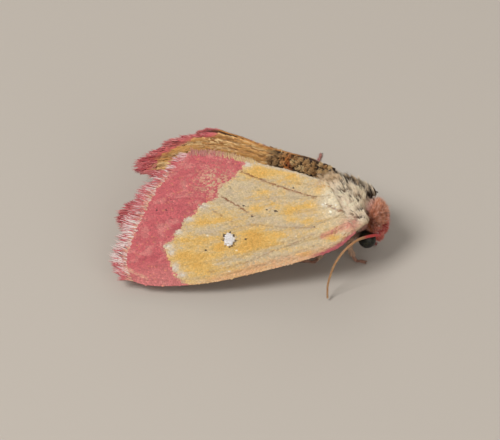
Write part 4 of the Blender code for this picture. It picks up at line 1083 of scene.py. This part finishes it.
def tegula(word, corners, path, count, tufts, seed, bulge, reach, painted_shade):
    """The flap of hair-scales over a wing root, which flow along it and up over the thorax."""
    random = np.random.default_rng(seed)
    out, put = forewing_plane(corners)
    line = np.array(path)

    def spot(share, aside, lift):
        c = spline(line, share)
        near = unit(spline(line, np.minimum(share + 0.02, 1)) - spline(line, np.maximum(share - 0.02, 0)))
        c = c + np.stack([near[:, 1], -near[:, 0]], -1) * aside[:, None]
        p, q = c.T
        return put(p, q, shoulder(p, q, SHOULDER_AT, bulge) + lift - 0.3 * soft(-aside, 0.0, 0.6))

    n = count
    share = random.random(n)
    low, high = TEGULA_EDGE, reach
    aside = low + (high - low) * random.random(n) ** 1.2
    aside = aside * (1 - np.clip((0.12 - share) / 0.12, 0, 1) ** 2 * 0.45)
    root = spot(share, aside, TEGULA_RISE + 0.08)
    fan = aside * 1.1 + 0.08
    ahead = unit(spot(share + 0.05, fan, TEGULA_RISE) - spot(share - 0.02, aside, TEGULA_RISE))
    outer = soft(aside + 0.1 * random.random(n), 0.4, 0.8)
    inner = soft(-aside, 0.0, 0.35)
    lift = 0.15 + 0.15 * random.random(n) * (1 - 0.6 * outer)
    lift = lift + 0.4 * soft(share, 0.75, 1.0) * (1 - outer) + 0.8 * inner
    way = unit(ahead + out * lift[:, None] + random.normal(0, 0.14, (n, 3)))
    lead, tuft = tufts_of(root, tufts, random)
    tip, root_tint = cream_hair(tuft, random)
    tip = mix(tip, rgb(236, 212, 164), 0.8 * outer)
    tip = mix(tip, rgb(218, 186, 144), 0.8 * soft(share, 0.72, 0.95))
    root_tint = mix(root_tint, rgb(222, 192, 142), outer)
    here, wide = share + 0.07, aside + 0.08  # the middle of each hair-scale, where its markings and painted shadow are taken
    rosy = soft(-here + 0.1 * random.random(n), -0.27, -0.1) * soft(aside, -0.2, 0.1)
    tip = mix(tip, rgb(222, 140, 128), 0.85 * rosy)
    # painted shadow: dark brown along the gap between the tegula and the thorax
    gap_shade, _ = line_distance(here, wide, TEGULA_GAP_SHADE)
    # painted shade: the far tegula's hair-scales are darkened all over
    spots_and_shade = np.maximum(soft(-gap_shade, -0.075, -0.035), painted_shade * (random.random(n) < 0.8))
    for at, side in TEGULA_SPOTS:
        spots_and_shade = np.maximum(spots_and_shade, soft(-np.hypot((here - at) * 3.2, wide - side), -0.2, -0.13))
    tip = mix(tip, DARK_BROWN, spots_and_shade)
    root_tint = mix(root_tint, DARK_BROWN * 0.6, spots_and_shade)
    vein, _ = line_distance(here, wide, TEGULA_VEIN)
    brown = 0.8 * soft(-vein, -0.045, -0.02)
    tip, root_tint = mix(tip, VEIN_BROWN, brown), mix(root_tint, VEIN_BROWN, brown)
    uv = np.stack([0.03 + 0.94 * share, 0.05 + 0.9 * (aside - low) / (high - low)], -1)
    length = (0.4 + 0.22 * random.random(n)) * (1 - 0.25 * rosy) * (1 - 0.4 * spots_and_shade) * (1 - 0.3 * outer)
    way, length = drawn_together(root, way, length, lead, 0.35)
    shade = (1 + random.normal(0, 0.06, n))[lead][:, None]
    half = 0.028 * (1 + random.normal(0, 0.2, n))
    made = strands(root, way, out, length, half, 0.013, -0.05, (root_tint * shade, np.clip(tip * shade, 0, 1)), uv,
                   sway=random.normal(0, 0.06, n))
    piece("tegula_coat_" + word, made, COAT)
    tegula_pad(word, spot, painted_shade)


def tegula_pad(word, spot, painted_shade):
    """The closed pad beneath a tegula's coat. spot puts (share, aside, lift) in place."""
    rows, sides, outer = 16, 20, 0.75
    s, t = grid(np.linspace(0.0, 1.0, rows), turns(sides))
    plump = np.sqrt(np.clip(1 - (2 * s - 1) ** 4, 0.02, 1))
    middle, half = (TEGULA_EDGE + outer) / 2, (outer - TEGULA_EDGE) / 2
    pad = spot(0.02 + 0.95 * s, middle + half * plump * np.cos(t), TEGULA_RISE + 0.1 * plump * np.sin(t))
    c, d = around(rows, sides)
    fan = np.arange(1, sides - 1)
    first = np.stack([fan * 0, fan, fan + 1], 1)
    faces = np.concatenate([np.stack([c, c + sides, d + sides], 1), np.stack([c, d + sides, d], 1),
                            first, (rows - 1) * sides + first[:, ::-1]])
    # painted shade darkens the far tegula's pad
    tint = rgb(150, 124, 96) * (1 - 0.6 * painted_shade)
    uv = np.stack([0.02 + 0.9 * s, t / 7], -1)
    piece("tegula_pad_" + word, (pad, faces, tint, uv), SKIN, ("tegula_" + word,), turn=True)


def dress_body():
    """The skin and the coat over it."""
    skin()
    full = (-180, 180)
    body_coat("coat_thorax", 6600, -2.25, -0.75, full, dress_thorax, 61, 200)
    body_coat("coat_collar", 4200, -0.9, 0.04, (-60, 240), dress_collar, 62, 140, half=0.025)
    body_coat("coat_head", 6200, -0.04, 0.41, full, dress_head, 63, 260, 0.013, 0.008, 0.3)
    body_coat("coat_abdomen", 3600, -7.9, -3.1, full, dress_abdomen, 64, 300, half=0.03, pull=0.2)
    tegula("right", RIGHT_FOREWING, RIGHT_TEGULA, 5400, 150, 65, SHOULDER_BULGE, 0.95, 0.0)
    # the far tegula, with painted shade
    tegula("left", LEFT_FOREWING, LEFT_TEGULA, 2000, 80, 66, 0.1, 0.6, 0.6)


# Eyes, feelers, palps and legs

def tube(line, radii, sides, tint):
    """A closed round tube along points, with a radius and a colour at each."""
    line = np.array(line, float)
    way = unit(np.gradient(line, axis=0))
    side = np.zeros_like(line)
    ref = np.cross(way[0], (0, 0, 1.0))
    ref = ref if np.linalg.norm(ref) > 0.1 else np.cross(way[0], (0, 1.0, 0))
    for k in range(len(line)):
        ref = ref - way[k] * (ref @ way[k])
        ref = ref / np.linalg.norm(ref)
        side[k] = ref
    other = np.cross(way, side)
    angle = turns(sides)
    rings = (line[:, None] + side[:, None] * (np.cos(angle) * radii[:, None])[..., None]
             + other[:, None] * (np.sin(angle) * radii[:, None])[..., None])
    n = len(line)
    a, b = around(n, sides)
    k = np.arange(sides)
    nxt = (k + 1) % sides
    first, start = n * sides, (n - 1) * sides
    faces = np.concatenate([np.stack(corners, 1) for corners in (
        (a, b, b + sides), (a, b + sides, a + sides), (nxt, k, k * 0 + first),
        (start + k, start + nxt, k * 0 + first + 1))])
    vertices = np.concatenate([rings.reshape(-1, 3), line[:1], line[-1:]])
    tint = np.broadcast_to(tint, line.shape)
    tints = np.concatenate([np.repeat(tint, sides, axis=0), tint[:1], tint[-1:]])
    share = np.repeat(np.linspace(0.02, 0.98, n), sides)
    uv = np.stack([share, 0.02 + 0.9 * np.tile(angle, n) / 6.3], -1)
    uv = np.concatenate([uv, [(0.01, 0.5), (0.99, 0.5)]])
    return vertices, faces, tints, uv


def limb_points(points, count):
    """Even points along a smooth line."""
    fine = spline(np.array(points, float), np.linspace(0, 1, 400))
    run = lengths_along(fine)
    want = np.linspace(0, run[-1], count)
    return np.stack([np.interp(want, run, fine[:, k]) for k in range(3)], -1)


def eye(side, word):
    """A finely faceted ball."""
    rows, columns = 56, 80
    polar, turn = grid(np.linspace(0.02, np.pi - 0.02, rows), turns(columns))
    facet = 0.004 * np.sin(polar * 44) * np.sin(turn * 30 + (np.floor(polar * 14) % 2) * np.pi)
    ball = np.stack([np.sin(polar) * np.cos(turn), np.cos(polar), np.sin(polar) * np.sin(turn)], -1)
    ball = ball * (EYE_RADIUS - 0.005 + facet)[:, None]
    a, b = around(rows, columns)
    c, d = a + columns, b + columns
    fan = np.arange(1, columns - 1)
    start = (rows - 1) * columns
    faces = np.concatenate([np.stack(corners, 1) for corners in (
        (a, c, d), (a, d, b), (fan * 0, fan, fan + 1), (start + fan * 0, start + fan + 1, start + fan))])
    bands = soft(noise(polar * 7, turn * 3, 70), 0.35, 0.75)
    tint = mix(rgb(10, 11, 8), rgb(44, 42, 30), bands)
    centre = EYE_CENTRE * (1, side, 1)
    uv = np.stack([turn / 6.4, polar / 3.2], -1)
    piece("eyeball_" + word, (ball + centre, faces, tint, uv), EYE, ("eye_" + word,), turn=True)


RIGHT_ANTENNA = (
    (0.42, -0.45, 1.95), (0.5, -0.75, 2.12), (0.42, -1.05, 2.34), (0.2, -1.5, 2.54), (-0.05, -2.2, 2.8),
    (-0.35, -2.85, 2.7), (-0.62, -3.15, 2.3), (-0.86, -3.4, 1.67), (-0.99, -3.75, 0.85), (-0.9, -4.05, 0.2),
)
LEFT_ANTENNA = (
    (0.36, 0.42, 2.12), (0.3, 0.72, 2.12), (0.0, 1.25, 1.9), (-0.55, 1.9, 1.4), (-1.4, 2.6, 0.9),
    (-2.3, 3.2, 0.6), (-3.1, 3.8, 0.45),
)
PALP = ((0.05, 0.26, 1.74), (0.2, 0.3, 1.62), (0.34, 0.3, 1.62), (0.44, 0.27, 1.76), (0.47, 0.25, 1.88))


def hair_places(line, count, random):
    """Where hairs stand on a limb: the share of it, the point's number, the way it runs, the way they face."""
    at = random.random(count)
    k = (at * (len(line) - 2)).astype(int)
    way = unit(line[k + 1] - line[k])
    aside = random.normal(0, 1, (count, 3))
    return at, k, way, unit(aside - way * np.einsum("ij,ij->i", aside, way)[:, None])


def antenna(word, points, seed):
    """A thread of short rings that taper to the tip, with fine bristles."""
    random = np.random.default_rng(seed)
    count = 300
    line = limb_points(points, count)
    share = np.linspace(0, 1, count)
    rings = np.abs(np.sin(share * np.pi * 62)) ** 0.6
    radii = (0.078 - 0.034 * share) * (0.88 + 0.14 * rings) * np.where(share < 0.035, 1.45, 1.0)
    tint = mix(rgb(194, 140, 94), rgb(128, 84, 52), 0.6 * (1 - rings) + 0.3 * share)
    tint = mix(tint, rgb(196, 56, 54), soft(-share, -0.3, -0.22))
    parts = [tube(line, radii, 10, tint)]
    n = 450
    at, k, way, face = hair_places(line, n, random)
    colour = mix(rgb(206, 168, 118), rgb(214, 80, 70), soft(-at, -0.3, -0.22))
    root = line[k] + face * (radii[k] * 0.8)[:, None]
    parts.append(strands(root, unit(way + face * 0.35), face, 0.11, 0.012, 0.006, -0.01, (colour * 0.7, colour),
                         np.stack([0.02 + 0.96 * at, random.random(n)], -1)))
    made = gather(parts)
    piece("feeler_" + word, made, LIMB, ("antenna_" + word,))


def hairy_limb(name, line, radii, tint, hairs, length, seed, node, tips=()):
    """A limb with short scales that lie along it."""
    random = np.random.default_rng(seed)
    parts = [tube(line, radii, 12, tint)]
    at, k, way, face = hair_places(line, hairs, random)
    size = length * (0.35 + radii[k] / radii.max()) * (1 + random.normal(0, 0.15, hairs))
    shade = (0.75 + 0.4 * random.random(hairs))[:, None]
    colour = tint[k] * shade
    root = line[k] + face * (radii[k] * 0.85)[:, None]
    lie = unit(way + face * (0.2 + 0.2 * random.random(hairs))[:, None])
    parts.append(strands(root, lie, face, size, 0.032, 0.01, -0.02, (colour * 0.7, np.clip(colour * 1.1, 0, 1)),
                         np.stack([0.02 + 0.96 * at, random.random(hairs)], -1)))
    parts += tips
    made = gather(parts)
    made[0][:, 2] = np.maximum(made[0][:, 2], 0.0)
    piece(name, made, LIMB, (node,))


LEGS = {  # hip, knee, ankle and where the foot ends
    "leg_front_right": ((-1.0, -0.45, 1.5), (-1.0, -0.8, 1.0), (-0.85, -0.8, 0.45), (-0.2, -0.75)),
    "leg_front_left": ((-1.0, 0.45, 1.5), (-1.0, 0.8, 1.0), (-0.85, 0.8, 0.45), (-0.2, 0.75)),
    "leg_mid_right": ((-1.75, -0.5, 1.4), (-2.0, -1.2, 1.0), (-2.3, -1.6, 0.45), (-3.2, -1.86)),
    "leg_mid_left": ((-1.75, 0.5, 1.4), (-2.9, 2.4, 1.05), (-5.0, 4.3, 0.4), (-5.25, 6.0)),
    "leg_hind_right": ((-2.5, -0.5, 1.5), (-3.7, -1.6, 1.15), (-5.4, -2.4, 0.5), (-7.55, -2.95)),
    "leg_hind_left": ((-2.5, 0.5, 1.5), (-3.7, 1.2, 0.95), (-5.4, 1.3, 0.4), (-7.55, 1.3)),
}


def leg(node, hip, knee, ankle, foot, seed):
    """Thigh, shin and a foot of five short joints that ends in claws."""
    sole = 0.07
    toe = np.array((foot[0], foot[1], sole))
    ankle, knee, hip = (np.array(c) for c in (ankle, knee, hip))
    flat = unit(toe - ankle * (1, 1, 0))
    touch = ankle * (1, 1, 0) + (0, 0, sole) + (toe - ankle * (1, 1, 0)) * (0.3, 0.3, 0)
    count = 120
    line = limb_points([hip, knee, ankle, touch, (touch + toe) / 2, toe], count)
    share = np.linspace(0, 1, count)
    knee_at = share[np.argmin(np.linalg.norm(line - knee, axis=1))]
    ankle_at = share[np.argmin(np.linalg.norm(line - ankle, axis=1))]
    thigh = 0.17 - 0.05 * soft(share, knee_at * 0.6, knee_at)
    shin = 0.10 + 0.03 * np.sin(np.pi * np.clip((share - knee_at) / (ankle_at - knee_at), 0, 1))
    joints = 0.058 + 0.014 * np.abs(np.sin(np.pi * 5 * np.clip((share - ankle_at) / (1 - ankle_at), 0, 1)))
    radii = np.where(share < knee_at, thigh, np.where(share < ankle_at, shin, joints))
    radii = np.minimum(radii, np.maximum(line[:, 2], 0.03))
    pale, rosy = rgb(206, 168, 138), rgb(180, 100, 98) if "left" in node else rgb(176, 124, 104)
    tint = mix(pale, rosy, 0.75 * (share > ankle_at) + 0.3 * (noise(share * 20, share * 0, seed) - 0.3))
    tips = []
    for aside in (-1, 1):  # claws
        side = unit(np.cross(flat, (0, 0, 1.0))) * aside
        end = toe + flat * 0.12 + side * 0.07 + (0, 0, -0.045)
        curve = np.array([toe, toe + flat * 0.07 + side * 0.04, end])
        tips.append(tube(limb_points(curve, 6), np.linspace(0.022, 0.006, 6), 6, rgb(70, 44, 30)))
    if "front" not in node:  # spurs on the shin
        other = (knee_at * 0.35 + ankle_at * 0.65, 0.3) if "hind" in node else (ankle_at * 0.96, 0.26)
        for at, reach in ((ankle_at * 0.98, 0.34), other):
            k = int(at * (count - 1))
            way = unit(line[k + 1] - line[k])
            side = unit(np.cross(way, (0, 0, 1.0)))
            for aside in (-1, 1):
                end = line[k] + way * reach + side * aside * 0.14 + (0, 0, 0.02)
                curve = limb_points([line[k], (line[k] + end) / 2 + side * aside * 0.05, end], 8)
                tips.append(tube(curve, np.linspace(0.034, 0.01, 8), 6, rgb(226, 190, 160)))
    hairy_limb("limb_" + node[4:], line, radii, tint, 560, 0.19, seed, node, tips)


def dress_details():
    """Eyes, palps, feelers and legs."""
    for side, word in ((-1, "right"), (1, "left")):
        eye(side, word)
        count = 60
        line = limb_points([np.array(p) * (1, side, 1) for p in PALP], count)
        share = np.linspace(0, 1, count)
        radii = 0.06 + 0.07 * np.sin(np.pi * np.clip(share, 0, 0.9) ** 0.8) * (1 - 0.5 * share)
        tint = mix(rgb(200, 84, 72), rgb(236, 156, 136), soft(share, 0.2, 0.8))
        hairy_limb("palp_coat_" + word, line, radii, tint, 700, 0.21, 80 + side, "palp_" + word)
    antenna("right", RIGHT_ANTENNA, 71)
    antenna("left", LEFT_ANTENNA, 72)
    for k, (node, (hip, knee, ankle, foot)) in enumerate(LEGS.items()):
        leg(node, hip, knee, ankle, foot, 90 + k)


# Stage

VIEW_TURN, VIEW_HEIGHT = math.radians(22), math.radians(42)  # of the camera, right of and above the moth's side
VIEW_AWAY = 600.0  # so far that the view is all but parallel, as in the photo
VIEW_WIDE = 25.0  # millimetres across the picture
PIXELS = 20  # of the photo in a millimetre
ROOT_PIXEL, MIDDLE_PIXEL = (364, 227), (250, 220)  # of the near wing's root, and of the picture's middle
SENSOR = 36.0
LIGHTS = (  # (name, way to it, size, power)
    ("key", (-0.3, -0.5, 0.82), 0.12, 0.56),
    ("fill", (0.75, -0.6, 0.45), 0.25, 0.2),
    ("rim", (-0.2, 0.9, 0.5), 0.2, 0.13),
)
LIGHT_AWAY = 0.3


def stage():
    """The floor, the camera at the photo's angle, and soft studio light."""
    bpy.ops.mesh.primitive_plane_add(size=3.0)
    floor = bpy.context.object
    floor.name = "floor"
    made = bpy.data.materials.new("floor_paper")
    made.use_nodes = True
    made.node_tree.nodes["Principled BSDF"].inputs["Base Color"].default_value = (*rgb(200, 191, 180), 1)
    made.node_tree.nodes["Principled BSDF"].inputs["Roughness"].default_value = 0.9
    floor.data.materials.append(made)
    right = np.array((math.cos(VIEW_TURN), math.sin(VIEW_TURN), 0))
    ahead = np.array((-math.sin(VIEW_TURN), math.cos(VIEW_TURN), 0))
    up = ahead * math.sin(VIEW_HEIGHT) + (0, 0, math.cos(VIEW_HEIGHT))
    back = np.cross(right, up)
    middle = (np.array(RIGHT_FOREWING[0]) + right * (MIDDLE_PIXEL[0] - ROOT_PIXEL[0]) / PIXELS
              + up * (ROOT_PIXEL[1] - MIDDLE_PIXEL[1]) / PIXELS)
    lens = bpy.data.cameras.new("camera")
    lens.sensor_width = SENSOR
    lens.lens = SENSOR * VIEW_AWAY / VIEW_WIDE
    lens.clip_start, lens.clip_end = 0.01, 10.0
    camera = bpy.data.objects.new("camera", lens)
    bpy.context.scene.collection.objects.link(camera)
    spot = (middle + back * VIEW_AWAY + MOVE) * MM
    turn = Matrix((right, up, back)).transposed().to_4x4()
    camera.matrix_world = Matrix.Translation(spot) @ turn
    bpy.context.scene.camera = camera
    centre = (middle + MOVE) * MM
    for name, way, size, power in LIGHTS:
        light = bpy.data.lights.new(name, "AREA")
        light.size, light.energy = size, power
        thing = bpy.data.objects.new(name, light)
        way = np.array(way) / np.linalg.norm(way)
        thing.location = centre + way * LIGHT_AWAY
        thing.rotation_euler = Vector(way).to_track_quat("Z", "Y").to_euler()
        bpy.context.scene.collection.objects.link(thing)
    world = bpy.data.worlds.new("studio")
    world.use_nodes = True
    world.node_tree.nodes["Background"].inputs["Color"].default_value = (*rgb(236, 232, 226), 1)
    world.node_tree.nodes["Background"].inputs["Strength"].default_value = 0.33
    bpy.context.scene.world = world
    bpy.context.scene.view_settings.view_transform = "Standard"


stage()
dress_wings()
dress_body()
dress_details()
